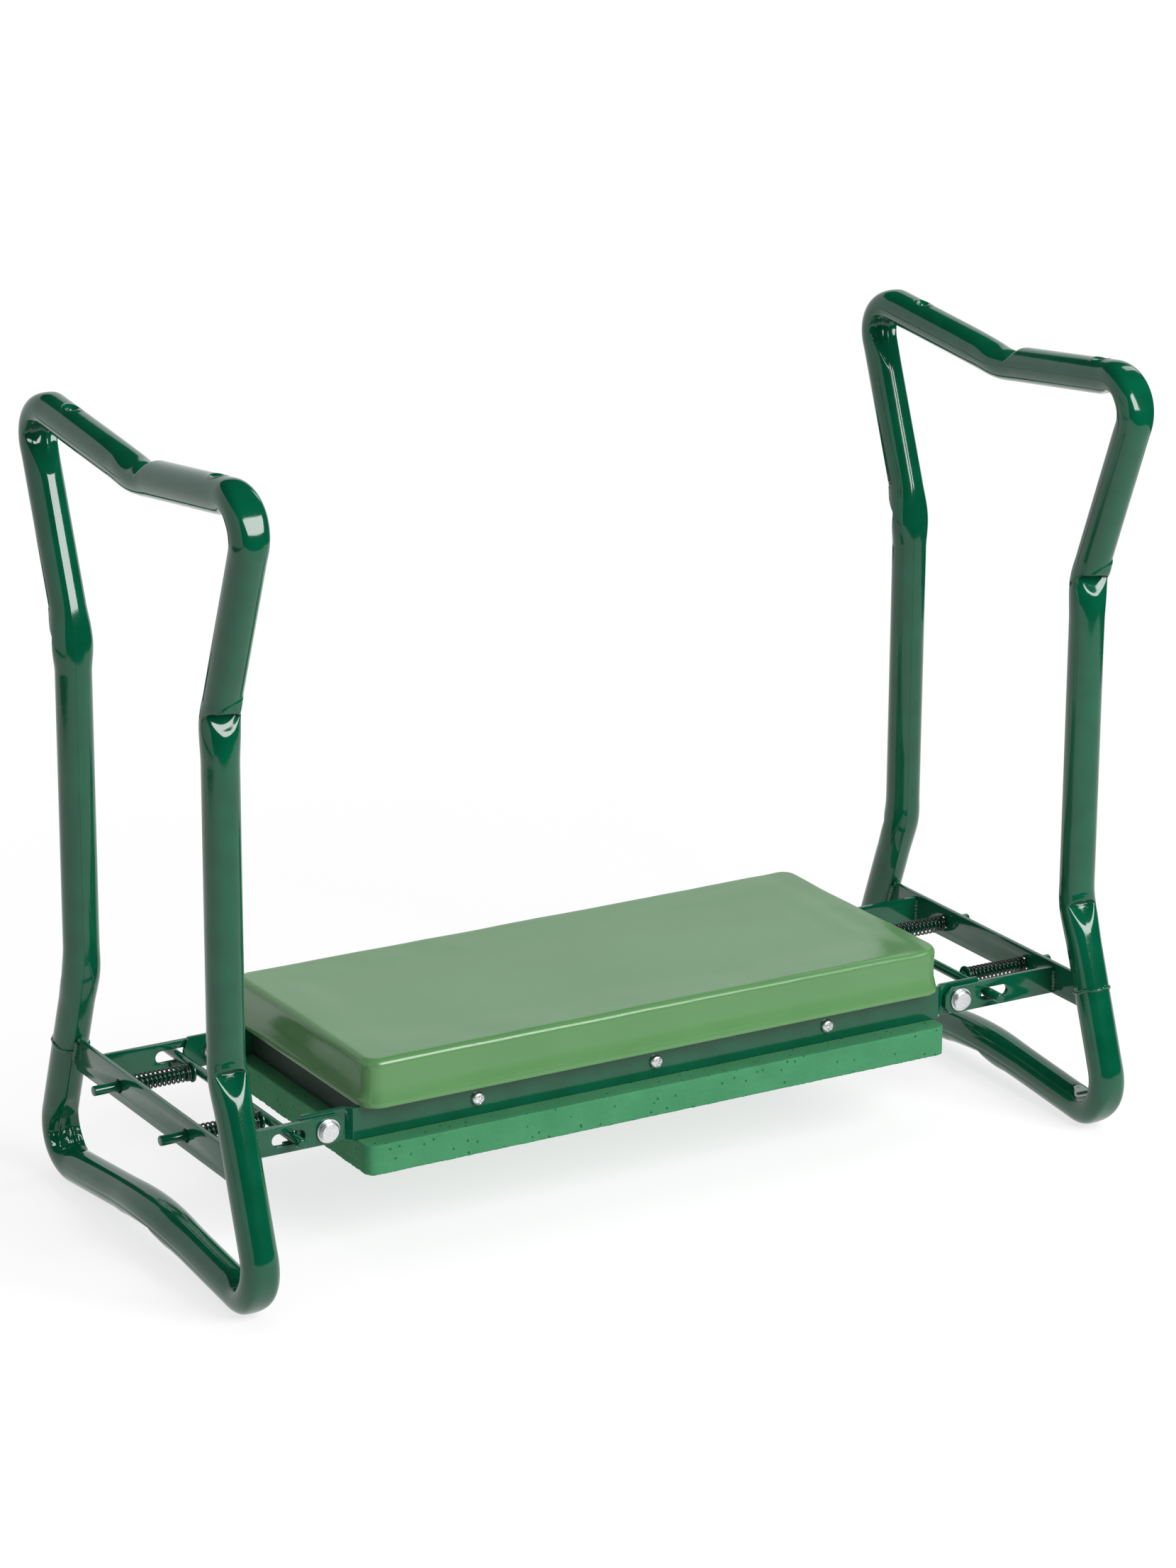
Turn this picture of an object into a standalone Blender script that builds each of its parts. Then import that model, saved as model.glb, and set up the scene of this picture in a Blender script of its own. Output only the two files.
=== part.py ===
"""Folding garden kneeler seat: two looped tube frames hinged to a padded seat and locked by sprung bars.

Metres, +Z up, X along the seat, -Y the front. The object stands on z = 0 as a kneeler, with its pad near the
ground. Each end frame is modelled once, in the frame of its hinge axis, and the left one is the right one
turned half a turn about Z.
"""

import math

import bmesh
import bpy
from mathutils import Vector

# Clearances between pieces, and how far a cutter passes what it cuts.
GAP = 0.0003
RUNNING = 0.00004
PAST = 0.002

# Hinge axes, along Y.
HINGE_X = 0.218
HINGE_Z = 0.0835

# Looped end frame, in the plane x = HINGE_X + FRAME_OUT.
TUBE_R = 0.0108
TUBE_WALL = 0.0010
FRAME_OUT = 0.072
TOP_CORNER_Y, TOP_CORNER_Z = 0.1448, 0.4740
TOP_DIP = 0.0162
UPPER_KINK_Y, UPPER_KINK_Z = 0.0952, 0.3445
LOWER_KINK_Y, LOWER_KINK_Z = 0.0952, 0.1405
FOOT_CORNER_Y, FOOT_CORNER_Z = 0.1440, 0.0060
FOOT_RISE = 0.0147
MIDDLE_BEND, TOP_BEND, KINK_BEND, FOOT_BEND = 0.060, 0.019, 0.040, 0.023
BEND_STEP = math.radians(20)
DRAIN_R = 0.0021
DRAIN_PLACES = (-0.088, 0.101)

# Cross plate and hinge arms.
PLATE_T = 0.003
PLATE_LOW, PLATE_HIGH = 0.074, 0.094
PLATE_CHAMFER = 0.004
ARM_T = 0.003
ARM_FACE_Y = 0.0773
ARM_HALF_H = 0.0085
ARM_TAIL = 0.0108
ARM_TAIL_CHAMFER = 0.0045
SLOT_IN, SLOT_OUT, SLOT_HALF_H = 0.0143, 0.0355, 0.00375

# Sprung lock: a bar across the arms and two plungers through the cross plate.
BAR_OUT = 0.022
BAR_R = 0.003
BAR_OVERHANG = 0.012
PLUNGER_Y = 0.0445
PLUNGER_R = 0.003
PLUNGER_TIP = 0.090
PLUNGER_HOLE_R = 0.0042
COLLAR_R, COLLAR_T = 0.0062, 0.0012
COLLAR_STEP, COLLAR_PLAY = 0.0008, 0.0002
WIRE_R = 0.00065
SPRING_R = 0.0046
SPRING_TURNS = 12
SPRING_POINTS_PER_TURN = 8

# Seat.
RAIL_T = 0.0025
RAIL_LOW, RAIL_HIGH = 0.074, 0.094
JOGGLE_START, JOGGLE_END = 0.2018, 0.2055
EAR_TOP_END, EAR_NOSE, EAR_NOSE_Z = 0.0150, 0.0182, 0.0025
JAW_DROP, JAW_END, JAW_CHAMFER = 0.0036, 0.0265, 0.0045
END_WALL_X, END_WALL_T = 0.1865, 0.0025
BOARD_X, BOARD_INSET = 0.1860, 0.0010
PAD_X, PAD_Y, PAD_TOP = 0.1990, 0.0885, 0.1235
PAD_CORNER, PAD_EDGE = 0.013, 0.007
PAD_LIP, PAD_LIP_H = 0.0015, 0.0040
FOAM_X, FOAM_Y, FOAM_LOW = 0.1995, 0.0910, 0.0555
FOAM_CORNER = 0.007

# Hinge pins and rail screws.
PIN_R = 0.004
PIN_HEAD_R, PIN_HEAD_T = 0.0062, 0.0026
PIN_CLINCH_R, PIN_CLINCH_T = 0.0056, 0.0030
PIN_ROUND_OFF = 0.0008
WASHER_R, WASHER_T = 0.0070, 0.0010
SCREW_PITCH = 0.1205
SCREW_R, SCREW_LENGTH, SCREW_POINT = 0.0020, 0.022, 0.004
SCREW_HEAD_R, SCREW_HEAD_H, SCREW_RIM = 0.00415, 0.0026, 0.35
SCREW_HOLE_R = 0.0024
PILOT_R, PILOT_DEPTH = 0.0023, 0.024

ROUND = 16


def start_clean():
    for obj in list(bpy.data.objects):
        bpy.data.objects.remove(obj, do_unlink=True)
    for name in ("garden_kneeler_seat", "cutters"):
        bpy.context.scene.collection.children.link(bpy.data.collections.new(name))
    bpy.data.collections["cutters"].hide_render = True


def material(name, colour, roughness, metallic=0.0):
    made = bpy.data.materials.new(name)
    made.use_nodes = True
    shader = made.node_tree.nodes["Principled BSDF"]
    shader.inputs["Base Color"].default_value = (*colour, 1.0)
    shader.inputs["Roughness"].default_value = roughness
    shader.inputs["Metallic"].default_value = metallic
    made.diffuse_color = (*colour, 1.0)
    return made


def link(obj, parent=None, finish=None):
    """Puts a finished piece in the object's collection, under its parent and with its material."""
    bpy.data.collections["garden_kneeler_seat"].objects.link(obj)
    obj.parent = parent
    if finish:
        obj.data.materials.clear()
        obj.data.materials.append(finish)
    return obj


def make_cutter(obj, parent=None):
    bpy.data.collections["cutters"].objects.link(obj)
    obj.parent = parent
    obj.hide_render = True
    obj.display_type = "WIRE"
    return obj


def boolean(obj, operation, other):
    step = obj.modifiers.new(f"{operation.lower()} {other.name}", "BOOLEAN")
    step.operation = operation
    step.solver = "EXACT"
    step.object = other


def pivot(name, location, turn=0.0, parent=None):
    empty = bpy.data.objects.new(name, None)
    empty.location = location
    empty.rotation_euler = (0, 0, turn)
    return link(empty, parent)


def meshed(curve_object, name):
    """A mesh object made from a curve object, with its caps welded on."""
    bpy.context.scene.collection.objects.link(curve_object)
    bpy.context.view_layer.update()
    graph = bpy.context.evaluated_depsgraph_get()
    mesh = bpy.data.meshes.new_from_object(curve_object.evaluated_get(graph))
    shape = bmesh.new()
    shape.from_mesh(mesh)
    bmesh.ops.remove_doubles(shape, verts=shape.verts, dist=1e-6)
    bmesh.ops.recalc_face_normals(shape, faces=shape.faces)
    shape.to_mesh(mesh)
    shape.free()
    made = bpy.data.objects.new(name, mesh)
    made.matrix_world = curve_object.matrix_world
    bpy.data.objects.remove(curve_object, do_unlink=True)
    return made


def wire(name, points, radius, resolution, closed=False):
    """A round wire or tube along a chain of points."""
    curve = bpy.data.curves.new(name, "CURVE")
    curve.dimensions = "3D"
    curve.bevel_depth = radius
    curve.bevel_resolution = resolution
    curve.use_fill_caps = not closed
    spline = curve.splines.new("POLY")
    spline.points.add(len(points) - 1)
    for place, point in zip(spline.points, points):
        place.co = (*point, 1.0)
    spline.use_cyclic_u = closed
    return meshed(bpy.data.objects.new(name + "_curve", curve), name)


def flat(name, outlines, thickness):
    """A plate from closed outlines in its own XY plane: first its edge, then its holes."""
    curve = bpy.data.curves.new(name, "CURVE")
    curve.dimensions = "2D"
    curve.fill_mode = "BOTH"
    curve.extrude = thickness / 2
    for outline in outlines:
        spline = curve.splines.new("POLY")
        spline.points.add(len(outline) - 1)
        for place, (x, y) in zip(spline.points, outline):
            place.co = (x, y, 0, 1.0)
        spline.use_cyclic_u = True
    return meshed(bpy.data.objects.new(name + "_curve", curve), name)


def turned(name, profile, steps=ROUND, ring=False):
    """A shape turned about its own Z axis. Its profile is (radius, height) pairs, down its outer side."""
    mesh = bpy.data.meshes.new(name)
    count = len(profile)
    edges = [(i, i + 1) for i in range(count - 1)]
    if ring:
        edges.append((count - 1, 0))
    mesh.from_pydata([(radius, 0, height) for radius, height in profile], edges, [])
    made = bpy.data.objects.new(name, mesh)
    screw = made.modifiers.new("turn", "SCREW")
    screw.axis = "Z"
    screw.angle = math.tau
    screw.steps = steps
    screw.render_steps = steps
    screw.use_merge_vertices = True
    screw.merge_threshold = 1e-5
    return made


def cylinder(name, radius, length, sides=ROUND):
    """A cylinder about its own Z axis, whose flats stand at the radius."""
    shape = bmesh.new()
    across = radius / math.cos(math.pi / sides)
    bmesh.ops.create_cone(
        shape, cap_ends=True, segments=sides, radius1=across, radius2=across, depth=length
    )
    mesh = bpy.data.meshes.new(name)
    shape.to_mesh(mesh)
    shape.free()
    return bpy.data.objects.new(name, mesh)


def block(name, low, high):
    """A box between two corners, as an object and the open bmesh that it is made from."""
    shape = bmesh.new()
    bmesh.ops.create_cube(shape, size=1.0)
    low, high = Vector(low), Vector(high)
    for vert in shape.verts:
        vert.co = Vector((low[i] + (vert.co[i] + 0.5) * (high[i] - low[i])) for i in range(3))
    return bpy.data.objects.new(name, bpy.data.meshes.new(name)), shape


def finish_block(obj, shape):
    bmesh.ops.recalc_face_normals(shape, faces=shape.faces)
    shape.to_mesh(obj.data)
    shape.free()
    return obj


def circle(centre_x, centre_y, radius, sides=ROUND):
    """A polygon whose flats stand at the radius, so that a round piece of that radius fits through it."""
    across = radius / math.cos(math.pi / sides)
    turns = [math.tau * (i + 0.5) / sides for i in range(sides)]
    return [(centre_x + across * math.cos(a), centre_y + across * math.sin(a)) for a in turns]


def slot(start_x, end_x, half_height, sides=8):
    """An outline with round ends, lying along X."""
    outline = []
    for centre, first in ((end_x - half_height, -math.pi / 2), (start_x + half_height, math.pi / 2)):
        for i in range(sides + 1):
            angle = first + math.pi * i / sides
            outline.append((centre + half_height * math.cos(angle), half_height * math.sin(angle)))
    return outline


def rounded_path(corners, radii):
    """The closed path through these corners, with each corner turned on an arc of its own radius."""
    path = []
    count = len(corners)
    for i, (corner, radius) in enumerate(zip(corners, radii)):
        here = Vector(corner)
        back = (Vector(corners[i - 1]) - here).normalized()
        ahead = (Vector(corners[(i + 1) % count]) - here).normalized()
        turn = math.pi - back.angle(ahead)
        reach = radius * math.tan(turn / 2)
        centre = here + (back + ahead).normalized() * math.hypot(radius, reach)
        steps = max(2, math.ceil(turn / BEND_STEP))
        first = here + back * reach - centre
        last = here + ahead * reach - centre
        for step in range(steps + 1):
            share = step / steps
            swing = first * math.sin((1 - share) * turn) + last * math.sin(share * turn)
            path.append(centre + swing / math.sin(turn))
    return path


def loop_bends():
    half = [MIDDLE_BEND, TOP_BEND, KINK_BEND, KINK_BEND, FOOT_BEND]
    return half + [MIDDLE_BEND] + half[:0:-1]


def loop_corners():
    """The corners of the frame tube's centre line as (y, z), at the height where the tube rests on z = 0."""
    half = [
        (TOP_CORNER_Y, TOP_CORNER_Z),
        (UPPER_KINK_Y, UPPER_KINK_Z),
        (LOWER_KINK_Y, LOWER_KINK_Z),
        (FOOT_CORNER_Y, FOOT_CORNER_Z),
    ]
    handle_middle = (0.0, TOP_CORNER_Z - TOP_DIP)
    foot_middle = (0.0, FOOT_CORNER_Z + FOOT_RISE)
    corners = [handle_middle] + half + [foot_middle] + [(-y, z) for y, z in reversed(half)]
    lift = TUBE_R - min(point.y for point in rounded_path(corners, loop_bends()))
    return [(y, z + lift) for y, z in corners]


def leg_inner_edge(height):
    """How far a leg's inner side stands from the middle, at a height below the lower kink."""
    (kink_y, kink_z), (foot_y, foot_z) = loop_corners()[3:5]
    lean = (foot_y - kink_y) / (kink_z - foot_z)
    centre = kink_y + lean * (kink_z - height)
    return centre - (TUBE_R + GAP) * math.hypot(1, lean)


def add_loop(side, hinge, paint):
    """The hollow tube loop, with two drain holes in the top of its handle."""
    corners = loop_corners()
    path = [(FRAME_OUT, point.x, point.y - HINGE_Z) for point in rounded_path(corners, loop_bends())]
    tube = link(wire(f"{side}_tube_loop", path, TUBE_R, 4, closed=True), hinge, paint)
    bore = wire(f"{side}_tube_bore", path, TUBE_R - TUBE_WALL, 2, closed=True)
    boolean(tube, "DIFFERENCE", make_cutter(bore, hinge))
    (_, middle_z), (corner_y, corner_z) = corners[:2]
    for i, y in enumerate(DRAIN_PLACES):
        drill = cylinder(f"{side}_drain_drill_{i}", DRAIN_R, TUBE_R, 12)
        z = middle_z + (corner_z - middle_z) * abs(y) / corner_y + TUBE_R
        drill.location = (FRAME_OUT, y, z - HINGE_Z)
        boolean(tube, "DIFFERENCE", make_cutter(drill, hinge))


def add_cross_plate(side, hinge, paint):
    """The flat plate between the legs, with two holes for the plungers."""
    low, high = PLATE_LOW, PLATE_HIGH
    bevel_at = low + PLATE_CHAMFER
    half = [
        (leg_inner_edge(bevel_at) - PLATE_CHAMFER, low),
        (leg_inner_edge(bevel_at), bevel_at),
        (leg_inner_edge(high), high),
    ]
    edge = half + [(-y, z) for y, z in reversed(half)]
    outlines = [[(y, z - HINGE_Z) for y, z in edge]]
    outlines += [circle(y, 0, PLUNGER_HOLE_R, 16) for y in (-PLUNGER_Y, PLUNGER_Y)]
    plate = flat(f"{side}_cross_plate", outlines, PLATE_T)
    plate.rotation_euler = (math.pi / 2, 0, math.pi / 2)
    plate.location = (FRAME_OUT, 0, 0)
    link(plate, hinge, paint)


def add_arms(side, hinge, paint, ends):
    """Two flat hinge arms, slotted for the lock bar, from the hinge pins out to the cross plate."""
    end = FRAME_OUT - PLATE_T / 2 - GAP
    tail, cut, half = -ARM_TAIL, ARM_TAIL_CHAMFER, ARM_HALF_H
    edge = [
        (tail + cut, -half),
        (end, -half),
        (end, half),
        (tail + cut, half),
        (tail, half - cut),
        (tail, -half + cut),
    ]
    outlines = [edge, circle(0, 0, PIN_R + RUNNING), slot(SLOT_IN, SLOT_OUT, SLOT_HALF_H)]
    for name, sign in ends:
        arm = flat(f"{side}_{name}_arm", outlines, ARM_T)
        arm.rotation_euler = (math.pi / 2, 0, 0)
        arm.location = (0, sign * (ARM_FACE_Y - ARM_T / 2), 0)
        link(arm, hinge, paint)


def add_lock(side, hinge, paint, ends):
    """The lock bar, its two plungers and their collars, on an empty that slides along the local X axis."""
    slide = pivot(f"{side}_lock_slide", (BAR_OUT, 0, 0), parent=hinge)
    reach = ARM_FACE_Y + BAR_OVERHANG
    nose = BAR_R / 3
    end = [(0, reach), (BAR_R - nose, reach), (BAR_R, reach - nose)]
    bar = turned(
        f"{side}_lock_bar",
        end + [(radius, -height) for radius, height in reversed(end)],
        16,
    )
    bar.rotation_euler = (math.pi / 2, 0, 0)
    link(bar, slide, paint)
    start = BAR_R + GAP
    tip = PLUNGER_TIP - BAR_OUT
    collar_start = start + COLLAR_STEP
    for name, sign in ends:
        plunger = turned(
            f"{side}_{name}_plunger",
            [(0, tip), (PLUNGER_R - nose, tip), (PLUNGER_R, tip - nose), (PLUNGER_R, start), (0, start)],
            16,
        )
        plunger.rotation_euler = (0, math.pi / 2, 0)
        plunger.location = (0, sign * PLUNGER_Y, 0)
        link(plunger, slide, paint)
        inner = PLUNGER_R + COLLAR_PLAY
        collar = turned(
            f"{side}_{name}_spring_collar",
            [(COLLAR_R, COLLAR_T), (COLLAR_R, 0), (inner, 0), (inner, COLLAR_T)],
            20,
            ring=True,
        )
        collar.rotation_euler = (0, math.pi / 2, 0)
        collar.location = (collar_start, sign * PLUNGER_Y, 0)
        link(collar, slide, paint)
    return BAR_OUT + collar_start + COLLAR_T + GAP


def add_springs(side, hinge, spring_steel, ends, start):
    """The coil springs on the plungers, from the collars to the cross plate."""
    first = start + WIRE_R
    last = FRAME_OUT - PLATE_T / 2 - GAP - WIRE_R
    steps = SPRING_TURNS * SPRING_POINTS_PER_TURN
    for name, sign in ends:
        points = []
        for i in range(steps + 1):
            angle = math.tau * i / SPRING_POINTS_PER_TURN
            along = first + (last - first) * i / steps
            points.append(
                (along, sign * PLUNGER_Y + SPRING_R * math.cos(angle), SPRING_R * math.sin(angle))
            )
        link(wire(f"{side}_{name}_lock_spring", points, WIRE_R, 0), hinge, spring_steel)


def add_end_frame(side, paint, spring_steel):
    turn = 0.0 if side == "right" else math.pi
    out = 1 if side == "right" else -1
    ends = [("front", -out), ("rear", out)]
    hinge = pivot(f"{side}_hinge", (out * HINGE_X, 0, HINGE_Z), turn)
    add_loop(side, hinge, paint)
    add_cross_plate(side, hinge, paint)
    add_arms(side, hinge, paint, ends)
    spring_start = add_lock(side, hinge, paint, ends)
    add_springs(side, hinge, spring_steel, ends, spring_start)


def rail_side_outline():
    """A rail seen from the front, as (x, z - HINGE_Z): straight, with an ear and a lower jaw at each end."""
    top, bottom = RAIL_HIGH - HINGE_Z, RAIL_LOW - HINGE_Z
    ear = [
        (JAW_END - JAW_CHAMFER, bottom),
        (JAW_END, bottom + JAW_CHAMFER / 2),
        (JAW_END, -JAW_DROP),
        (EAR_NOSE, -JAW_DROP),
        (EAR_NOSE, EAR_NOSE_Z),
        (EAR_TOP_END, top),
    ]
    right = [(HINGE_X + x, z) for x, z in ear]
    return right + [(-x, z) for x, z in reversed(right)]


def rail_plan_outline():
    """The front rail seen from above, as (x, y): each ear steps in to pass behind an arm."""
    outer, inner = -ARM_FACE_Y, RAIL_T - ARM_FACE_Y
    step = ARM_T + GAP
    end = HINGE_X + JAW_END + PAST
    edge = [(JOGGLE_START, outer), (JOGGLE_END, outer + step), (end, outer + step)]
    back = [(end, inner + step), (JOGGLE_END, inner + step), (JOGGLE_START, inner)]
    right = edge + back
    return right + [(-x, y) for x, y in reversed(right)]


def screw_places():
    return [-SCREW_PITCH, 0.0, SCREW_PITCH]


def add_rails(paint):
    """The two long rails: each is its plan view and its side view, extruded and intersected."""
    middle = (RAIL_LOW + RAIL_HIGH) / 2
    holes = [circle(x, 0, PIN_R + RUNNING) for x in (-HINGE_X, HINGE_X)]
    holes += [circle(x, middle - HINGE_Z, SCREW_HOLE_R, 16) for x in screw_places()]
    for name, sign in (("front", 1), ("rear", -1)):
        plan = [(x, y * sign) for x, y in rail_plan_outline()]
        rail = flat(f"{name}_rail", [plan], RAIL_HIGH - RAIL_LOW + 2 * PAST)
        rail.location = (0, 0, middle)
        side = flat(f"{name}_rail_side", [rail_side_outline()] + holes, 2 * (RAIL_T + ARM_T + PAST * 4))
        side.rotation_euler = (math.pi / 2, 0, 0)
        side.location = (0, -sign * ARM_FACE_Y, HINGE_Z)
        boolean(rail, "INTERSECT", make_cutter(side))
        link(rail, finish=paint)


def add_end_walls(paint):
    """The cross walls between the rails, just inside the hinges."""
    half_y = ARM_FACE_Y - RAIL_T - GAP
    for name, sign in (("left", -1), ("right", 1)):
        near, far = sorted((sign * END_WALL_X, sign * (END_WALL_X + END_WALL_T)))
        wall, shape = block(f"{name}_end_wall", (near, -half_y, RAIL_LOW), (far, half_y, RAIL_HIGH))
        link(finish_block(wall, shape), finish=paint)


def add_board(wood):
    """The board that fills the seat's frame, with pilot holes for the rail screws."""
    half_y = ARM_FACE_Y - RAIL_T - GAP
    low, high = RAIL_LOW + BOARD_INSET, RAIL_HIGH - BOARD_INSET
    board, shape = block("seat_board", (-BOARD_X, -half_y, low), (BOARD_X, half_y, high))
    link(finish_block(board, shape), finish=wood)
    for sign in (-1, 1):
        for i, x in enumerate(screw_places()):
            drill = cylinder(f"pilot_drill_{sign + 1}_{i}", PILOT_R, PILOT_DEPTH * 2, 12)
            drill.rotation_euler = (math.pi / 2, 0, 0)
            drill.location = (x, sign * half_y, (low + high) / 2)
            boolean(board, "DIFFERENCE", make_cutter(drill))


def upright_edges(shape):
    return [e for e in shape.edges if abs(e.verts[0].co.z - e.verts[1].co.z) > 1e-4]


def level_edges(shape, height):
    return [e for e in shape.edges if all(abs(v.co.z - height) < 1e-5 for v in e.verts)]


def add_pad(skin):
    """The moulded kneeling pad: round corners, a rolled top edge and a small lip round its foot."""
    low = RAIL_HIGH + GAP
    pad, shape = block("kneeling_pad", (-PAD_X, -PAD_Y, low), (PAD_X, PAD_Y, PAD_TOP))
    corners = upright_edges(shape)
    bmesh.ops.bevel(shape, geom=corners, offset=PAD_CORNER, segments=6, profile=0.5, affect="EDGES")
    for height in (low + PAD_LIP_H, low + PAD_LIP_H * 2):
        everything = shape.verts[:] + shape.edges[:] + shape.faces[:]
        bmesh.ops.bisect_plane(shape, geom=everything, plane_co=(0, 0, height), plane_no=(0, 0, 1))
    for vert in shape.verts:
        if vert.co.z > low + PAD_LIP_H * 1.5:
            vert.co.x *= 1 - PAD_LIP / PAD_X
            vert.co.y *= 1 - PAD_LIP / PAD_Y
    rim = level_edges(shape, PAD_TOP)
    bmesh.ops.bevel(shape, geom=rim, offset=PAD_EDGE, segments=4, profile=0.5, affect="EDGES")
    link(finish_block(pad, shape), finish=skin)


def add_foam(foam):
    """The foam slab under the rails, which is the seat when the object is turned over."""
    slab, shape = block("foam_slab", (-FOAM_X, -FOAM_Y, FOAM_LOW), (FOAM_X, FOAM_Y, RAIL_LOW - GAP))
    corners = upright_edges(shape)
    bmesh.ops.bevel(shape, geom=corners, offset=FOAM_CORNER, segments=4, profile=0.5, affect="EDGES")
    link(finish_block(slab, shape), finish=foam)


def add_pins(zinc):
    """The hinge pins, through an arm and an ear, each with a washer under its head."""
    washer_low = ARM_FACE_Y + GAP
    head_low = washer_low + WASHER_T + GAP
    head_high = head_low + PIN_HEAD_T
    clinch_high = ARM_FACE_Y - ARM_T - GAP - RAIL_T - GAP
    clinch_low = clinch_high - PIN_CLINCH_T
    round_off = PIN_ROUND_OFF
    pin_profile = [
        (0, head_high),
        (PIN_HEAD_R - round_off, head_high),
        (PIN_HEAD_R, head_high - round_off),
        (PIN_HEAD_R, head_low),
        (PIN_R, head_low),
        (PIN_R, clinch_high),
        (PIN_CLINCH_R, clinch_high),
        (PIN_CLINCH_R, clinch_low + round_off),
        (PIN_CLINCH_R - round_off, clinch_low),
        (0, clinch_low),
    ]
    hole = (PIN_R + RUNNING * 3) / math.cos(math.pi / ROUND)
    washer_profile = [(WASHER_R, WASHER_T), (WASHER_R, 0), (hole, 0), (hole, WASHER_T)]
    for side, x in (("left", -HINGE_X), ("right", HINGE_X)):
        for name, sign in (("front", -1), ("rear", 1)):
            pin = turned(f"{side}_{name}_hinge_pin", pin_profile)
            washer = turned(f"{side}_{name}_hinge_washer", washer_profile, ring=True)
            for piece, start in ((pin, 0), (washer, washer_low)):
                piece.rotation_euler = (-sign * math.pi / 2, 0, 0)
                piece.location = (x, sign * start, HINGE_Z)
                link(piece, finish=zinc)


def add_screws(zinc):
    """Pan-head screws through the rails into the edges of the board."""
    head = SCREW_HEAD_H
    profile = [(0, head)]
    for i in range(1, 5):
        angle = math.radians(90 - 20 * i)
        rise = SCREW_RIM + (1 - SCREW_RIM) * math.sin(angle)
        profile.append((SCREW_HEAD_R * math.cos(angle), head * rise))
    shank = [(SCREW_HEAD_R, 0), (SCREW_R, 0), (SCREW_R, SCREW_POINT - SCREW_LENGTH)]
    profile += shank + [(0, -SCREW_LENGTH)]
    face = ARM_FACE_Y + GAP / 2
    middle = (RAIL_LOW + RAIL_HIGH) / 2
    for name, sign in (("front", -1), ("rear", 1)):
        for place, x in zip(("left", "middle", "right"), screw_places()):
            screw = turned(f"{name}_rail_screw_{place}", profile, 16)
            screw.rotation_euler = (-sign * math.pi / 2, 0, 0)
            screw.location = (x, sign * face, middle)
            link(screw, finish=zinc)


def main():
    start_clean()
    green_paint = material("green_powder_coat", (0.004, 0.067, 0.031), 0.14)
    zinc = material("bright_zinc", (0.62, 0.63, 0.65), 0.28, 1.0)
    spring_steel = material("dark_spring", (0.0045, 0.016, 0.010), 0.24)
    pad_skin = material("pad_skin", (0.075, 0.197, 0.068), 0.22)
    eva_foam = material("eva_foam", (0.040, 0.193, 0.086), 0.85)
    board_wood = material("board_wood", (0.45, 0.30, 0.17), 0.75)
    for side in ("left", "right"):
        add_end_frame(side, green_paint, spring_steel)
    add_rails(green_paint)
    add_end_walls(green_paint)
    add_board(board_wood)
    add_pad(pad_skin)
    add_foam(eva_foam)
    add_pins(zinc)
    add_screws(zinc)


main()
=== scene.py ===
"""The looks of the folding garden kneeler seat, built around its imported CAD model.

Metres, +Z up, X along the seat, -Y the front, in the CAD model's frame. An end frame's pieces are made at the
right end, and turned half a turn about Z for the left end. Only the tube loops face one way at both ends.
"""

import collections
import math

import bmesh
import bpy
import numpy as np
from mathutils import Matrix, Vector, noise


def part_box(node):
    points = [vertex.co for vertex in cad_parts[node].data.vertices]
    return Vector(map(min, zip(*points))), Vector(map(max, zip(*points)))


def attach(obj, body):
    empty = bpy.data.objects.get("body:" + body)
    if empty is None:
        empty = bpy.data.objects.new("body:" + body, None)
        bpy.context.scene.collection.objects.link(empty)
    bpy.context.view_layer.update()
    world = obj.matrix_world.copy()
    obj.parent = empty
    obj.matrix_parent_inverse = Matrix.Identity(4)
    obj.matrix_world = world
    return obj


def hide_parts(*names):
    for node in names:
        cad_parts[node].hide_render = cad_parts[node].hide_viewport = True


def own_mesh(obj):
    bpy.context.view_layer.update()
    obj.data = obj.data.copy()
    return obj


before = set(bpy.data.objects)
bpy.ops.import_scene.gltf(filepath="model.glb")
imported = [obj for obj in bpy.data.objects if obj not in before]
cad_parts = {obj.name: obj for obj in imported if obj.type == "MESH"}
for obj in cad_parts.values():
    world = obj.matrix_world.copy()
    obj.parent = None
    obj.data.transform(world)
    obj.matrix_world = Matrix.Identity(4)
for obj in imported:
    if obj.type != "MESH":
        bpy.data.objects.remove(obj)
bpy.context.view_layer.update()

TAU = math.tau
X, Y, Z = 0, 1, 2
SIDES = ("right", "left")
FRONT_AND_REAR = (("front", -1), ("rear", 1))
SAME_POINT = 1e-7  # points this close together are joined
OFF_AXIS = (0.31, 0.47, 0.83)  # a direction that no bar runs along

# The tube loops: the corners of the centre line as (y, z), and its bend radii.
TOP_CORNER = (0.1448, 0.4740)
UPPER_KINK = (0.0952, 0.3445)
LOWER_KINK = (0.0952, 0.1405)
FOOT_CORNER = (0.1440, 0.0060)
TOP_DIP, FOOT_RISE = 0.0162, 0.0147
HANDLE_BEND, TOP_BEND, KINK_BEND, FOOT_BEND = 0.060, 0.019, 0.040, 0.023
FOOT_MIDDLE_BEND, REAR_KINK_BEND = 0.30, 0.110
BEND_STEPS = 40
RING_POINTS = 96
WIDE_SPACING, FINE_SPACING, FINE_REACH = 0.0030, 0.0006, 0.045
DRAIN_PLACES = (-0.088, 0.101)  # along the handle, from its middle
UPPER_AIM, LOWER_AIM = math.radians(12), math.radians(8)  # how far the leg dents are turned round the tube

# The hinge axes, and the pieces around them.
HINGE_X, HINGE_Z = 0.218, 0.0835
ARM_FACE_Y, ARM_T, ARM_TAIL, ARM_CHAMFER = 0.0773, 0.003, 0.0108, 0.0045
PLATE_CHAMFER = 0.004
PLUNGER_Y = 0.0445


# --- mesh helpers


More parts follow.
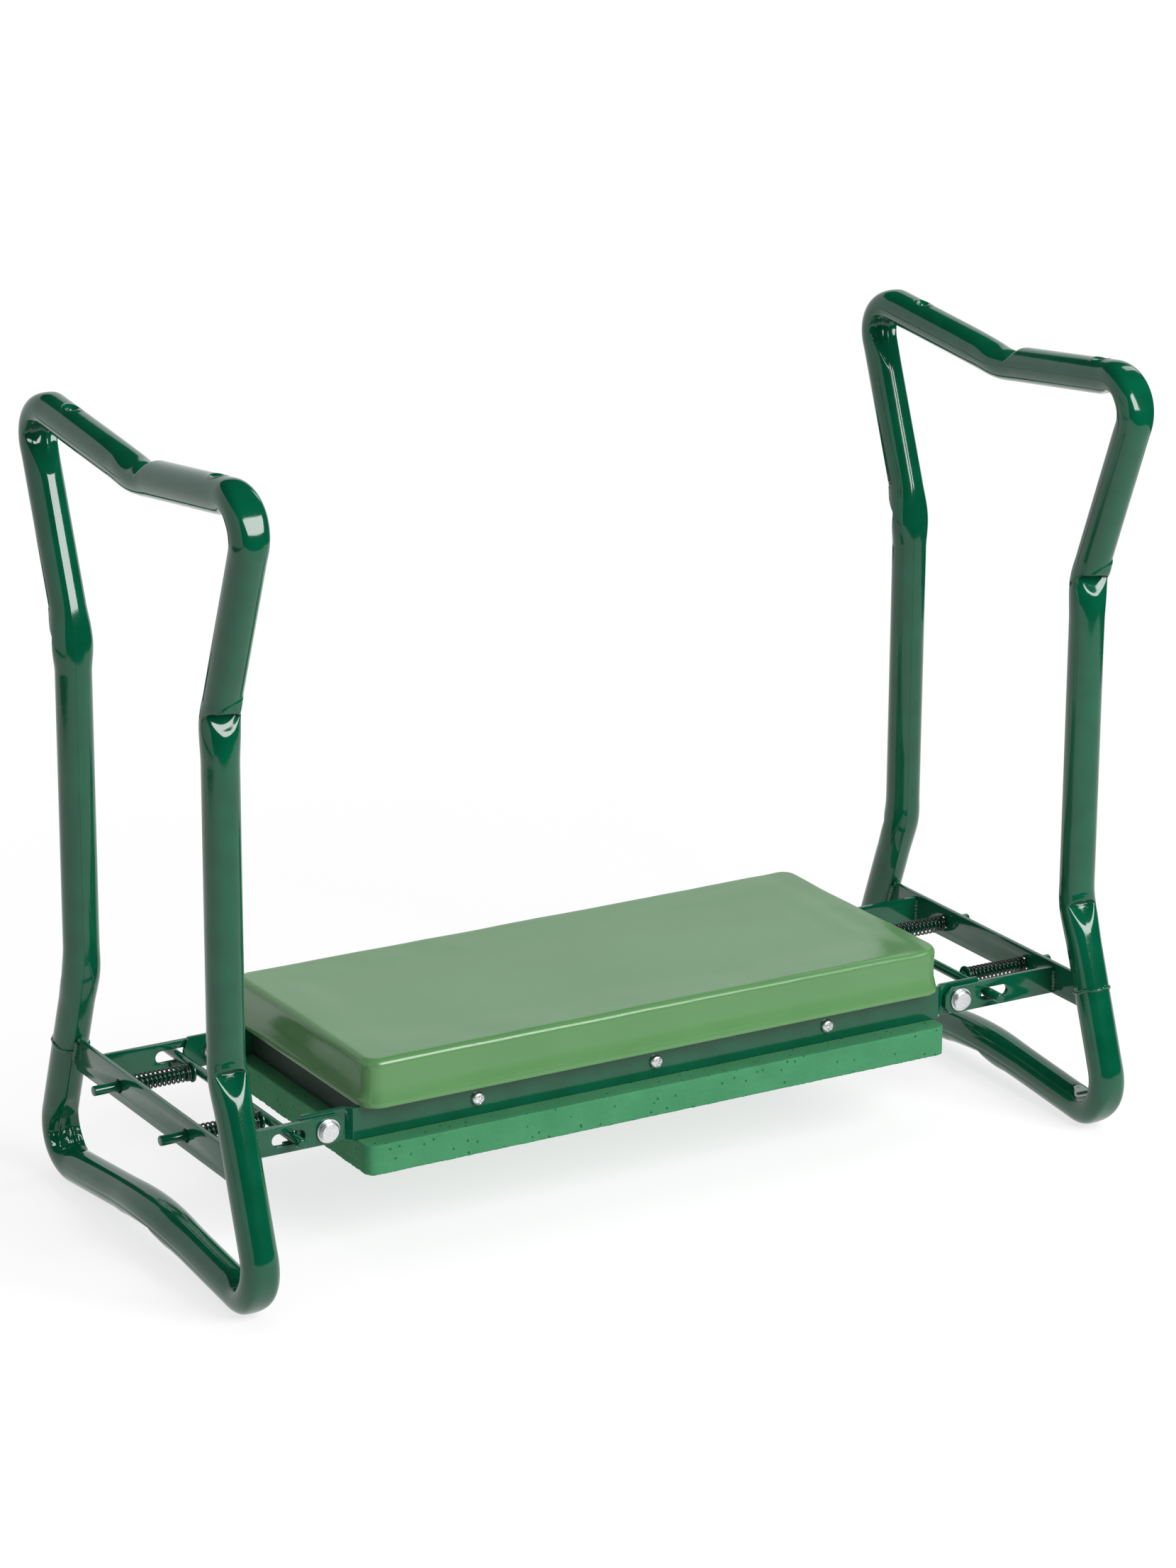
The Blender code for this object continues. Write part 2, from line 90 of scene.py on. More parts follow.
def new_object(name, data):
    made = bpy.data.objects.new(name, data)
    bpy.context.scene.collection.objects.link(made)
    return made


def unit(vectors):
    return vectors / np.linalg.norm(vectors, axis=-1, keepdims=True)


def about(axis, degrees):
    return Matrix.Rotation(math.radians(degrees), 4, axis)


def smooth(obj, sharp_degrees=None):
    for face in obj.data.polygons:
        face.use_smooth = True
    if sharp_degrees is not None:
        obj.data.set_sharp_from_angle(angle=math.radians(sharp_degrees))
    return obj


def clean(mesh, merge):
    """Joins the points that lie together, and turns every face outwards."""
    shape = bmesh.new()
    shape.from_mesh(mesh)
    bmesh.ops.remove_doubles(shape, verts=shape.verts, dist=merge)
    bmesh.ops.recalc_face_normals(shape, faces=shape.faces)
    shape.to_mesh(mesh)
    shape.free()


def grid_mesh(name, rings, closed=False):
    """A mesh through rings of points, an array of shape (rings, points, 3), capped unless it is closed."""
    count, points = rings.shape[:2]
    faces = []
    last = count if closed else count - 1
    for i in range(last):
        here, there = i * points, ((i + 1) % count) * points
        for j in range(points):
            k = (j + 1) % points
            faces.append((here + j, here + k, there + k, there + j))
    if not closed:
        faces.append(tuple(range(points))[::-1])
        faces.append(tuple(range((count - 1) * points, count * points)))
    mesh = bpy.data.meshes.new(name)
    mesh.from_pydata(rings.reshape(-1, 3).tolist(), [], faces)
    clean(mesh, SAME_POINT)
    return new_object(name, mesh)


def paint(obj, surface):
    obj.data.materials.clear()
    obj.data.materials.append(surface)


def finish(obj, body, slot, *stands_for):
    """Gives a piece its material and its body, in place of the CAD nodes that it stands for."""
    paint(obj, MATERIALS[slot])
    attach(obj, body)
    if stands_for:
        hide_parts(*stands_for)


def finish_end(obj, side, *stands_for, part="frame", slot="green_powder_coat"):
    """Finishes a piece of an end, made at the right end and turned round if it is for the left."""
    if side == "left":
        obj.data.transform(about("Z", 180))
    finish(obj, f"{side}_{part}", slot, *stands_for)


def end_name(side, sign):
    """The name of the end that lies at sign times y before a left end's half turn, such as left_rear."""
    return f"{side}_rear" if (sign > 0) == (side == "right") else f"{side}_front"


def box_middle(node):
    low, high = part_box(node)
    return (low + high) / 2


def span(node, axis):
    """How far from the object's middle a node starts and ends along an axis."""
    low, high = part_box(node)
    return sorted((abs(low[axis]), abs(high[axis])))


def swept(name, points, radii, sides=24, closed=False):
    """A round bar along points, with a radius at each. It is capped at both ends unless it is closed."""
    points = np.asarray(points, float)
    ahead = np.roll(points, -1, 0) - points
    behind = points - np.roll(points, 1, 0)
    if not closed:
        ahead[-1], behind[0] = behind[-1], ahead[0]
    tangents = unit(ahead + behind)
    normal = np.cross(tangents[0], OFF_AXIS)
    rings = np.zeros((len(points), sides, 3))
    angles = np.arange(sides) * TAU / sides
    for i, tangent in enumerate(tangents):
        normal = unit(normal - tangent * (normal @ tangent))
        around = np.outer(np.cos(angles), normal) + np.outer(np.sin(angles), np.cross(tangent, normal))
        rings[i] = points[i] + around * radii[i]
    return grid_mesh(name, rings, closed=closed)


def turned(profile, sides=48):
    """The rings of a shape turned about Z, from (radius, height) pairs."""
    smallest = 1e-5  # a point on the axis becomes a tiny ring
    angles = np.arange(sides) * TAU / sides
    radii, heights = np.array(profile, float).T[:, :, None]
    radii = np.maximum(radii, smallest)
    return np.stack([radii * np.cos(angles), radii * np.sin(angles), heights + 0 * angles], axis=2)


def rounded_profile(corners, radius, steps=4):
    """The (radius, height) corners with each inner one turned on a small arc."""
    longest = 0.45  # the most of a side that one corner may take
    out = [corners[0]]
    for before, corner, after in zip(corners, corners[1:], corners[2:]):
        here = np.array(corner)
        back, ahead = np.array(before) - here, np.array(after) - here
        reach = min(radius, np.linalg.norm(back) * longest, np.linalg.norm(ahead) * longest)
        start, end = here + unit(back) * reach, here + unit(ahead) * reach
        for step in range(steps + 1):
            t = step / steps
            out.append(tuple((1 - t) ** 2 * start + 2 * t * (1 - t) * here + t * t * end))
    out.append(corners[-1])
    return out


def plate(name, outlines, thickness, edge=0.0004):
    """A flat plate with softened edges, centred on z = 0: its own outline, then those of its holes."""
    merge = 1e-6
    curve = bpy.data.curves.new(name, "CURVE")
    curve.dimensions = "2D"
    curve.fill_mode = "BOTH"
    curve.extrude = thickness / 2 - edge
    curve.bevel_depth = edge
    curve.bevel_resolution = 2
    curve.offset = -edge
    for outline in outlines:
        spline = curve.splines.new("POLY")
        spline.points.add(len(outline) - 1)
        for place, (x, y) in zip(spline.points, outline):
            place.co = (x, y, 0, 1.0)
        spline.use_cyclic_u = True
    helper = new_object(name + "_curve", curve)
    bpy.context.view_layer.update()
    mesh = bpy.data.meshes.new_from_object(helper.evaluated_get(bpy.context.evaluated_depsgraph_get()))
    bpy.data.objects.remove(helper, do_unlink=True)
    clean(mesh, merge)
    mesh.name = name
    return new_object(name, mesh)


def circle(x, y, radius, sides=40):
    angles = [TAU * i / sides for i in range(sides)]
    return [(x + radius * math.cos(a), y + radius * math.sin(a)) for a in angles]


def slot_outline(start, end, half_height, sides=20):
    outline = []
    for centre, first in ((end - half_height, -math.pi / 2), (start + half_height, math.pi / 2)):
        for i in range(sides + 1):
            angle = first + math.pi * i / sides
            outline.append((centre + half_height * math.cos(angle), half_height * math.sin(angle)))
    return outline


def lumps(points, scale, seed):
    """Smooth noise between about -1 and 1 at each point."""
    offset = Vector((seed * 7.31, seed * 3.77, seed * 5.13))
    return np.array([noise.noise(Vector(p) * scale + offset) for p in points])


# --- materials


def socket_name(key):
    """The name of a socket, from a keyword: from_min is From Min."""
    return key.replace("_", " ").title().replace("Ior", "IOR")


class Nodes:
    """Builds a material's node tree. The values are its main shader's."""

    def __init__(self, name, **values):
        self.material = bpy.data.materials.new(name)
        self.material.use_nodes = True
        self.tree = self.material.node_tree
        self.shader = self.tree.nodes["Principled BSDF"]
        self.surface = self.tree.nodes["Material Output"].inputs["Surface"]
        self.position = self.add("ShaderNodeTexCoord").outputs["Object"]
        self.normal = None
        for key, value in values.items():
            self.shader.inputs[socket_name(key)].default_value = value

    def add(self, kind, **values):
        node = self.tree.nodes.new(kind)
        for key, value in values.items():
            node.inputs[socket_name(key)].default_value = value
        return node

    def link(self, output, target):
        self.tree.links.new(output, target)

    def noise(self, scale, detail, roughness=0.5, stretch=None):
        texture = self.add("ShaderNodeTexNoise", scale=scale, detail=detail, roughness=roughness)
        vector = self.position
        if stretch:
            mapping = self.add("ShaderNodeMapping", scale=stretch)
            self.link(vector, mapping.inputs["Vector"])
            vector = mapping.outputs["Vector"]
        self.link(vector, texture.inputs["Vector"])
        return texture.outputs["Fac"]

    def cells(self, scale):
        texture = self.add("ShaderNodeTexVoronoi", scale=scale)
        self.link(self.position, texture.inputs["Vector"])
        return texture.outputs["Distance"]

    def ramp(self, value, first, second, start=0.3, end=0.7):
        """One colour where a value is at its start, running to another at its end."""
        node = self.tree.nodes.new("ShaderNodeValToRGB")
        for element, place, colour in zip(node.color_ramp.elements, (start, end), (first, second)):
            element.position = place
            element.color = (*colour, 1.0)
        self.link(value, node.inputs["Fac"])
        return node.outputs["Color"]

    def spread(self, value, low, high, start=0.3, end=0.7):
        """A number that runs from low to high as a value runs from start to end."""
        node = self.add("ShaderNodeMapRange", from_min=start, from_max=end, to_min=low, to_max=high)
        self.link(value, node.inputs["Value"])
        return node.outputs["Result"]

    def spotted(self, mask, spot_colour, colour):
        """A colour with spots where the mask falls to 0."""
        mix = self.tree.nodes.new("ShaderNodeMix")
        mix.data_type = "RGBA"
        mix.inputs["A"].default_value = (*spot_colour, 1)
        self.link(mask, mix.inputs["Factor"])
        self.link(colour, mix.inputs["B"])
        return mix.outputs["Result"]

    def colour(self, output):
        self.link(output, self.shader.inputs["Base Color"])

    def rough(self, value, low, high):
        self.link(self.spread(value, low, high), self.shader.inputs["Roughness"])

    def bump(self, height, strength, distance):
        """Adds a bump on top of those before it."""
        node = self.add("ShaderNodeBump", strength=strength, distance=distance)
        self.link(height, node.inputs["Height"])
        if self.normal:
            self.link(self.normal, node.inputs["Normal"])
        self.normal = node.outputs["Normal"]
        self.link(self.normal, self.shader.inputs["Normal"])


def green_powder_coat():
    """Glossy dark green enamel with a faint orange peel."""
    deep, clear = (0.0003, 0.060, 0.0275), (0.0005, 0.073, 0.0340)
    n = Nodes("green_powder_coat_fine")
    n.colour(n.ramp(n.noise(scale=55, detail=2), deep, clear, 0.35, 0.65))
    n.rough(n.noise(scale=900, detail=2), 0.07, 0.13)
    n.bump(n.noise(scale=120, detail=1), strength=0.05, distance=0.0006)
    n.bump(n.noise(scale=520, detail=2), strength=0.05, distance=0.0002)
    return n.material


def painted_shade_coat():
    """The end walls' coat inside the seat: dull and dusty, its green darkened and greyed as painted shade from
    under the pad's overhang.
    """
    # deep and clear are far darker than the frame's paint: painted shade, not the coat's own colour
    dust, deep, clear = (0.060, 0.085, 0.070), (0.010, 0.028, 0.018), (0.016, 0.038, 0.026)
    n = Nodes("inner_coat_fine", specular_ior_level=0.3, roughness=0.62)
    specks = n.spread(n.cells(scale=420), 0, 1, 0.05, 0.10)
    n.colour(n.spotted(specks, dust, n.ramp(n.noise(scale=60, detail=4), deep, clear)))
    return n.material


def bright_zinc():
    """Bright zinc plate, a little cloudy."""
    dull, bright = (0.62, 0.63, 0.64), (0.80, 0.81, 0.82)
    n = Nodes("bright_zinc_fine", metallic=1.0)
    n.colour(n.ramp(n.noise(scale=700, detail=3), dull, bright))
    n.rough(n.noise(scale=900, detail=4, roughness=0.6), 0.28, 0.42)
    return n.material


def dark_spring():
    """Spring wire under a thin dark green coat."""
    deep, clear = (0.003, 0.010, 0.007), (0.006, 0.022, 0.014)
    n = Nodes("dark_spring_fine", specular_ior_level=0.6)
    n.colour(n.ramp(n.noise(scale=400, detail=2), deep, clear, 0.35, 0.7))
    n.rough(n.noise(scale=1500, detail=2), 0.16, 0.30)
    return n.material


def pad_skin():
    """The moulded pad's smooth, slightly satin skin, with a very fine grain."""
    deep, clear = (0.070, 0.188, 0.063), (0.080, 0.205, 0.072)
    n = Nodes("pad_skin_fine")
    n.colour(n.ramp(n.noise(scale=11, detail=3), deep, clear))
    n.rough(n.noise(scale=260, detail=3), 0.20, 0.27)
    n.bump(n.noise(scale=70, detail=2), strength=0.05, distance=0.0010)
    n.bump(n.noise(scale=1500, detail=3, roughness=0.6), strength=0.03, distance=0.0001)
    return n.material


def eva_foam():
    """Sawn foam: matt, with fine open cells and a few larger pores."""
    shade, deep, clear = (0.012, 0.090, 0.036), (0.035, 0.180, 0.079), (0.045, 0.206, 0.093)
    n = Nodes("eva_foam_fine", specular_ior_level=0.25, roughness=0.86)
    pores = n.spread(n.cells(scale=170), 0, 1, 0.10, 0.16)
    n.colour(n.spotted(pores, shade, n.ramp(n.noise(scale=45, detail=4), deep, clear)))
    n.bump(pores, strength=0.5, distance=0.0005)
    n.bump(n.cells(scale=950), strength=0.30, distance=0.0006)
    n.bump(n.noise(scale=60, detail=3, roughness=0.6, stretch=(0.3, 0.3, 14)), strength=0.25, distance=0.0005)
    return n.material


def board_wood():
    """Plain board with its grain along the seat."""
    dark, light = (0.36, 0.22, 0.11), (0.55, 0.38, 0.22)
    n = Nodes("board_wood_fine", roughness=0.75)
    grain = n.noise(scale=40, detail=5, roughness=0.6, stretch=(0.6, 8, 8))
    n.colour(n.ramp(grain, dark, light))
    n.bump(grain, strength=0.3, distance=0.0006)
    return n.material


SLOTS = (green_powder_coat, bright_zinc, dark_spring, pad_skin, eva_foam, board_wood)
MATERIALS = {make.__name__: make() for make in SLOTS}

# --- tube loops


def loop_corners():
    half = [TOP_CORNER, UPPER_KINK, LOWER_KINK, FOOT_CORNER]
    handle_middle = (0.0, TOP_CORNER[1] - TOP_DIP)
    foot_middle = (0.0, FOOT_CORNER[1] + FOOT_RISE)
    return [handle_middle] + half + [foot_middle] + [(-y, z) for y, z in reversed(half)]


def loop_path():
    """The loop's centre line: its points (y, z), their places along it, its length and its corners' places."""
    corners = np.array(loop_corners())
    radii = [HANDLE_BEND, TOP_BEND, KINK_BEND, KINK_BEND, FOOT_BEND]
    radii += [FOOT_MIDDLE_BEND, FOOT_BEND, KINK_BEND, REAR_KINK_BEND, TOP_BEND]
    dense, marks = [], []
    for here, before, after, radius in zip(corners, np.roll(corners, 1, 0), np.roll(corners, -1, 0), radii):
        back, ahead = unit(before - here), unit(after - here)
        turn = math.pi - math.acos(float(np.clip(back @ ahead, -1, 1)))
        reach = radius * math.tan(turn / 2)
        centre = here + unit(back + ahead) * math.hypot(radius, reach)
        first, last = here + back * reach - centre, here + ahead * reach - centre
        marks.append(len(dense) + BEND_STEPS // 2)
        for step in range(BEND_STEPS + 1):
            t = step / BEND_STEPS
            swing = (first * math.sin((1 - t) * turn) + last * math.sin(t * turn)) / math.sin(turn)
            dense.append(centre + swing)
    closed = np.array(dense + dense[:1])
    lengths = np.concatenate([[0], np.cumsum(np.linalg.norm(np.diff(closed, axis=0), axis=1))])
    total = lengths[-1]
    marks = [lengths[m] for m in marks]
    along = ring_places(total, marks + [marks[0] + place for place in DRAIN_PLACES])
    points = np.stack([np.interp(along, lengths, closed[:, k]) for k in (0, 1)], axis=1)
    return points, along, total, marks


def ring_places(total, busy):
    """Places along the loop for its rings, close together near the busy places."""
    s = np.linspace(0, total, 6000)
    near = np.zeros_like(s)
    for place in busy:
        near = np.maximum(near, bell(wrapped(s, place, total) / FINE_REACH))
    density = (1 - near) / WIDE_SPACING + near / FINE_SPACING
    passed = np.concatenate([[0], np.cumsum((density[1:] + density[:-1]) / 2 * np.diff(s))])
    count = int(passed[-1])
    return np.interp(np.arange(count) * passed[-1] / count, passed, s)


def bell(x):
    """1 at the middle, falling smoothly to 0 at -1 and 1."""
    return np.where(np.abs(x) < 1, (1 - np.clip(x * x, 0, 1)) ** 2, 0.0)


def lean(x, before, after):
    """A bell with its own reach on each side."""
    return np.where(x < 0, bell(x / before), bell(x / after))


def ridge(x, width):
    return np.exp(-((x / width) ** 2))


def wrapped(along, place, total):
    """Distances from a place on the loop, the shorter way round."""
    return (along - place + total / 2) % total - total / 2


def step_up(x):
    """0 below 0, rising smoothly to 1 at 1."""
    x = np.clip(x, 0, 1)
    return x * x * (3 - 2 * x)


def press(h, limit, soft):
    """h kept under a limit, with a soft edge where it meets it."""
    return h - soft * np.logaddexp(0, (h - limit) / soft)


def soft_max(a, b, soft):
    return -press(-a, -b, soft)


def turned_by(h, w, angle):
    """(h, w) seen from a direction turned round the tube by an angle."""
    c, s = math.cos(angle), math.sin(angle)
    return h * c + w * s, w * c - h * s


# A dent, by its places along the tube: a wall at its top, a floor, a rim and a long tail. steep and tail_slope
# are slopes, dish is the hollow across and turn its lean. soft rounds the rim, and press the dent's whole edge.
Dent = collections.namedtuple("Dent", "top floor rim tail steep tail_slope dish turn soft press")
UPPER_DENT = Dent(-0.0082, 0.0035, 0.0092, 0.0180, 0.62, 0.17, 18.0, 0.16, 0.0004, 0.0007)
LOWER_DENT = Dent(-0.0005, 0.0075, 0.0190, 0.0330, 0.44, 0.05, 40.0, 0.0, 0.0006, 0.0008)
HANDLE_DENT = Dent(-0.0230, -0.0120, -0.0060, 0.0200, 0.55, 0.11, 16.0, 0.0, 0.0005, 0.0009)
FOOT_DENT = Dent(-0.0210, -0.0110, -0.0070, 0.0200, 0.55, 0.08, 10.0, 0.0, 0.0005, 0.0009)


def dented(h, w, u, radius, dent):
    """The skin's height over the centre line, pressed in by a dent; u runs along the tube from the dent."""
    floor_slope, floor_dish, tail_dish = 0.28, 16.0, 36.0
    wall_slope, wall_bow = 2.4, 3.0e5
    floor_soft, wall_soft = 0.0003, 0.0006
    rim_height = radius - dent.tail_slope * (dent.tail - dent.rim)
    across = dent.turn * w
    tail = radius - dent.tail_slope * (dent.tail - u) - tail_dish * w * w
    slope = rim_height - dent.steep * (dent.rim - u) + dent.dish * w * w + across
    floor = rim_height - dent.steep * (dent.rim - dent.floor) - floor_slope * (dent.floor - u)
    floor = floor - floor_dish * w * w + across
    wall = radius + wall_slope * (dent.top + wall_bow * w**4 - u)
    inner = soft_max(slope, floor, floor_soft)
    limit = soft_max(press(tail, inner, dent.soft), wall, wall_soft)
    return press(h, limit, dent.press)


# How the tube widens at a dent: where, over what reach each way, and by how much.
Swell = collections.namedtuple("Swell", "shift before after amount")
UPPER_SWELL = Swell(0.006, 0.018, 0.022, 0.0009)
REAR_UPPER_SWELL = Swell(0.006, 0.018, 0.022, 0.0017)
LOWER_SWELL = Swell(0.008, 0.018, 0.022, 0.0008)
HANDLE_SWELL = Swell(0.0, 0.024, 0.022, 0.0010)
FOOT_SWELL = Swell(0.0, 0.052, 0.048, 0.0016)
CORNER_SWELL = Swell(0.0, 0.026, 0.026, 0.0008)


def upper_kink(h, w, u, sign, radius, raised):
    """An upper leg bend: a scoop under a raised hood, with a fine crease across the hood."""
    hood_at, flank = -0.0085, 0.15
    bulge_height, bulge_slant = 0.0010, 0.2
    hood_height, crease_at, crease_slant, crease_bow, crease_rise = 0.0013, -0.0132, 0.68, 38, 0.0012
    groove_depth, groove_shift, groove_width = 0.0004, 0.0004, 0.0006
    a, b = turned_by(h, w, UPPER_AIM)
    slant = -sign * b
    bulge = lean(u - hood_at + bulge_slant * slant, 0.009, 0.006)
    a = a + raised * bulge_height * bulge * step_up((a / radius - flank) / 0.6)
    crease = u - crease_at + crease_slant * slant - crease_bow * b * b
    hood = raised * hood_height * step_up(crease / crease_rise + 0.5)
    hood = hood - groove_depth * ridge(crease + groove_shift, groove_width)
    a = a + hood * lean(u - hood_at, 0.018, 0.014) * step_up((a / radius - flank) / 0.4)
    return turned_by(dented(a, b, u, radius, UPPER_DENT), b, -UPPER_AIM)


def lower_kink(h, w, u, sign, radius):
    """A lower leg bend: a longer scoop under a slight bulge with one arched fold."""
    bulge_height, bulge_at, bulge_slant, flank = 0.0004, -0.0010, 0.1, 0.15
    fold_depth, fold_at, fold_width, fold_bow = 0.0004, -0.0072, 0.0008, 110
    fold_middle, fold_reach = 0.001, 0.0042
    a, b = turned_by(h, w, LOWER_AIM)
    bulge = lean(u - bulge_at - bulge_slant * sign * b, 0.010, 0.006)
    a = a + bulge_height * bulge * step_up((a / radius - flank) / 0.6)
    fold = ridge(u - fold_at - fold_bow * (b - fold_middle) ** 2, fold_width)
    a = a - fold_depth * fold * bell((b - fold_middle) / fold_reach) * (a > 0)
    return turned_by(dented(a, b, u, radius, LOWER_DENT), b, -LOWER_AIM)


def tight_corner(h, w, u, sign, radius):
    """A tight corner: its inner wall is pushed in between two long edges, over soft folds and ribs."""
    edge_height, edge_at, edge_width = 0.0007, 0.0066, 0.0022
    fold_height, fold_length, fold_wave, wave_length = 0.0006, 0.0075, 0.8, 0.003
    sink_depth, sink_dish, sink_soft, spare, spare_fade = 0.0078, 9.0, 0.0006, 0.0014, 0.0015
    outer_press, outer_spare, outer_soft = 0.0022, 0.0016, 0.0007
    inner = -h
    edge = ridge(np.abs(w) - edge_at, edge_width) * step_up(inner / radius / 0.5)
    inner = inner + edge_height * lean(u - 0.001, 0.036, 0.040) * edge
    folds = np.cos((u - 0.001) / fold_length * math.pi + fold_wave * np.sin(w / wave_length))
    folds = fold_height * folds * lean(u, 0.018, 0.015)
    side = w * sign
    ribs = 0.0013 * ridge(side + 0.0058 - 0.08 * u, 0.0012) * lean(u - 0.004, 0.016, 0.014)
    ribs = ribs + 0.0009 * ridge(side + 0.0030, 0.0009) * lean(u - 0.003, 0.010, 0.012)
    ribs = ribs + 0.0016 * ridge(side - 0.0045 + 0.10 * u, 0.0018) * lean(u - 0.006, 0.018, 0.022)
    sink = sink_depth * lean(u - 0.001, 0.036, 0.042)
    limit = radius - sink + sink_dish * w * w + folds + ribs + spare * (1 - step_up(sink / spare_fade))
    h = -press(inner, limit, sink_soft)
    outer = radius - outer_press * lean(u, 0.024, 0.024) + outer_spare * (1 - lean(u, 0.030, 0.030))
    return press(h, outer, outer_soft)


def seam(h, w, s, total, corners):
    """The tube's own seam, a fine raised line along the inner side, away from the tight corners."""
    height, at, width, clear = 0.00022, 0.0030, 0.0005, 0.050
    straight = np.ones_like(s)
    for place in corners:
        straight = straight * (1 - bell(wrapped(s, place, total) / clear))
    return h - height * straight * ridge(w - at, width) * (h < 0)


def foot_crease(h, w, u):
    """A fine crease low on the outboard side of the foot bar."""
    depth, at, width, reach, fade = 0.0006, 0.0014, 0.0007, 0.125, 0.003
    return w - depth * ridge(h - at, width) * step_up(w / fade) * bell(u / reach)


def drain(h, w, u, radius):
    """A drain dimple in the top of the handle, with a small hole in its middle."""
    dimple_depth, dimple_long, dimple_wide = 0.0019, 0.0058, 0.0046
    rim_height, rim_long, rim_wide, rim_width = 0.0003, 0.0062, 0.0050, 0.18
    hole_depth, hole_radius, hole_soft = 0.0060, 0.0017, 0.00022
    top = step_up(h / radius / 0.3)
    h = h - dimple_depth * bell(np.hypot(u / dimple_long, w / dimple_wide)) * top
    h = h + rim_height * ridge(np.hypot(u / rim_long, w / rim_wide) - 1, rim_width) * top
    inside = 1 / (1 + np.exp(np.clip((np.hypot(u, w) - hole_radius) / hole_soft, -40, 40)))
    return h - hole_depth * inside * top


def loop_surface(along, angles, total, marks, radius):
    """Where the tube's skin stands off its centre line, for each ring and point round it.

    h is the distance towards the outside of the loop and w the distance across it.
    """
    s = along[:, None] + 0 * angles[None, :]
    h = radius * np.cos(angles)[None, :] + 0 * s
    w = radius * np.sin(angles)[None, :] + 0 * s
    handle, top_a, upper_a, lower_a, foot_a, foot_middle, foot_b, lower_b, upper_b, top_b = marks

    def from_mark(place, sign=1):
        return wrapped(s, place, total) * sign

    def swollen(place, swell, sign=1):
        beside = from_mark(place + sign * swell.shift)
        return w * (1 + swell.amount * lean(beside, swell.before, swell.after) / radius)

    # a is the front leg and b the rear leg, whose hood is lower.
    for place, sign, swell, raised in ((upper_a, 1, UPPER_SWELL, 1.0), (upper_b, -1, REAR_UPPER_SWELL, 0.4)):
        w = swollen(place, swell, sign)
        h, w = upper_kink(h, w, from_mark(place, sign), sign, radius, raised)
    for place, sign in ((lower_a, 1), (lower_b, -1)):
        w = swollen(place, LOWER_SWELL, sign)
        h, w = lower_kink(h, w, from_mark(place, sign), sign, radius)

    # The middles of the handle and the foot bar, pressed in on their outer side.
    w = swollen(handle, HANDLE_SWELL)
    h = dented(h, w, -from_mark(handle), radius, HANDLE_DENT)
    w = swollen(foot_middle, FOOT_SWELL)
    u = from_mark(foot_middle)
    bulges = lean(u - 0.030, 0.010, 0.014) + lean(u + 0.027, 0.012, 0.010)
    h = dented(h + 0.0008 * bulges * step_up(h / radius), w, u, radius, FOOT_DENT)

    for place, sign in ((top_a, 1), (foot_a, -1), (foot_b, 1), (top_b, -1)):
        w = swollen(place, CORNER_SWELL)
        h = tight_corner(h, w, from_mark(place, sign), sign, radius)
    h = seam(h, w, s, total, (top_a, foot_a, foot_b, top_b))
    w = foot_crease(h, w, from_mark(foot_middle))
    for place in DRAIN_PLACES:
        h = drain(h, w, from_mark(handle + place), radius)
    return h, w


def loop_place():
    """The loop's centre line, raised to stand on the ground, and the tube's radius."""
    points, along, total, marks = loop_path()
    low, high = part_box("right_tube_loop")
    radius = (high.x - low.x) / 2
    points[:, 1] += radius - points[:, 1].min()
    return points, along, total, marks, radius


def tube_loop(side):
    points, along, total, marks, radius = loop_place()
    plane_x = box_middle("right_tube_loop").x
    tangents = unit(np.roll(points, -1, 0) - np.roll(points, 1, 0))
    outward = np.stack([-tangents[:, 1], tangents[:, 0]], axis=1)
    angles = np.arange(RING_POINTS) * TAU / RING_POINTS
    h, w = loop_surface(along, angles, total, marks, radius)
    rings = np.zeros((len(points), RING_POINTS, 3))
    rings[:, :, X] = plane_x + w
    rings[:, :, Y] = points[:, :1] + h * outward[:, :1]
    rings[:, :, Z] = np.maximum(points[:, 1:] + h * outward[:, 1:], 0.0)
    loop = smooth(grid_mesh(f"{side}_tube", rings, closed=True))
    # Both loops face the same way: each is turned half a turn, the right one about its own middle.
    back = Matrix.Translation((2 * plane_x if side == "right" else 0, 0, 0))
    loop.data.transform(back @ about("Z", 180))
    finish(loop, f"{side}_frame", "green_powder_coat", f"{side}_tube_loop")


# --- plates, arms and rails


def plate_box():
    """The right cross plate's box, and how wide it still is at its top, between the leaning legs."""
    low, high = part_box("right_cross_plate")
    slope = (FOOT_CORNER[0] - LOWER_KINK[0]) / (LOWER_KINK[1] - FOOT_CORNER[1])
    return low, high, high.y - slope * (high.z - low.z - PLATE_CHAMFER)


def cross_plate(side):
    hole = 0.0042
    low, high, top_y = plate_box()
    half = [(high.y - PLATE_CHAMFER, low.z), (high.y, low.z + PLATE_CHAMFER), (top_y, high.z)]
    edge = [(y, z - HINGE_Z) for y, z in half + [(-y, z) for y, z in reversed(half)]]
    holes = [circle(y, 0, hole) for y in (-PLUNGER_Y, PLUNGER_Y)]
    made = plate(f"{side}_cross_bar", [edge] + holes, high.x - low.x)
    place = Matrix.Translation(((low.x + high.x) / 2, 0, HINGE_Z))
    made.data.transform(place @ about("Z", 90) @ about("X", 90))
    finish_end(smooth(made, 32), side, f"{side}_cross_plate")


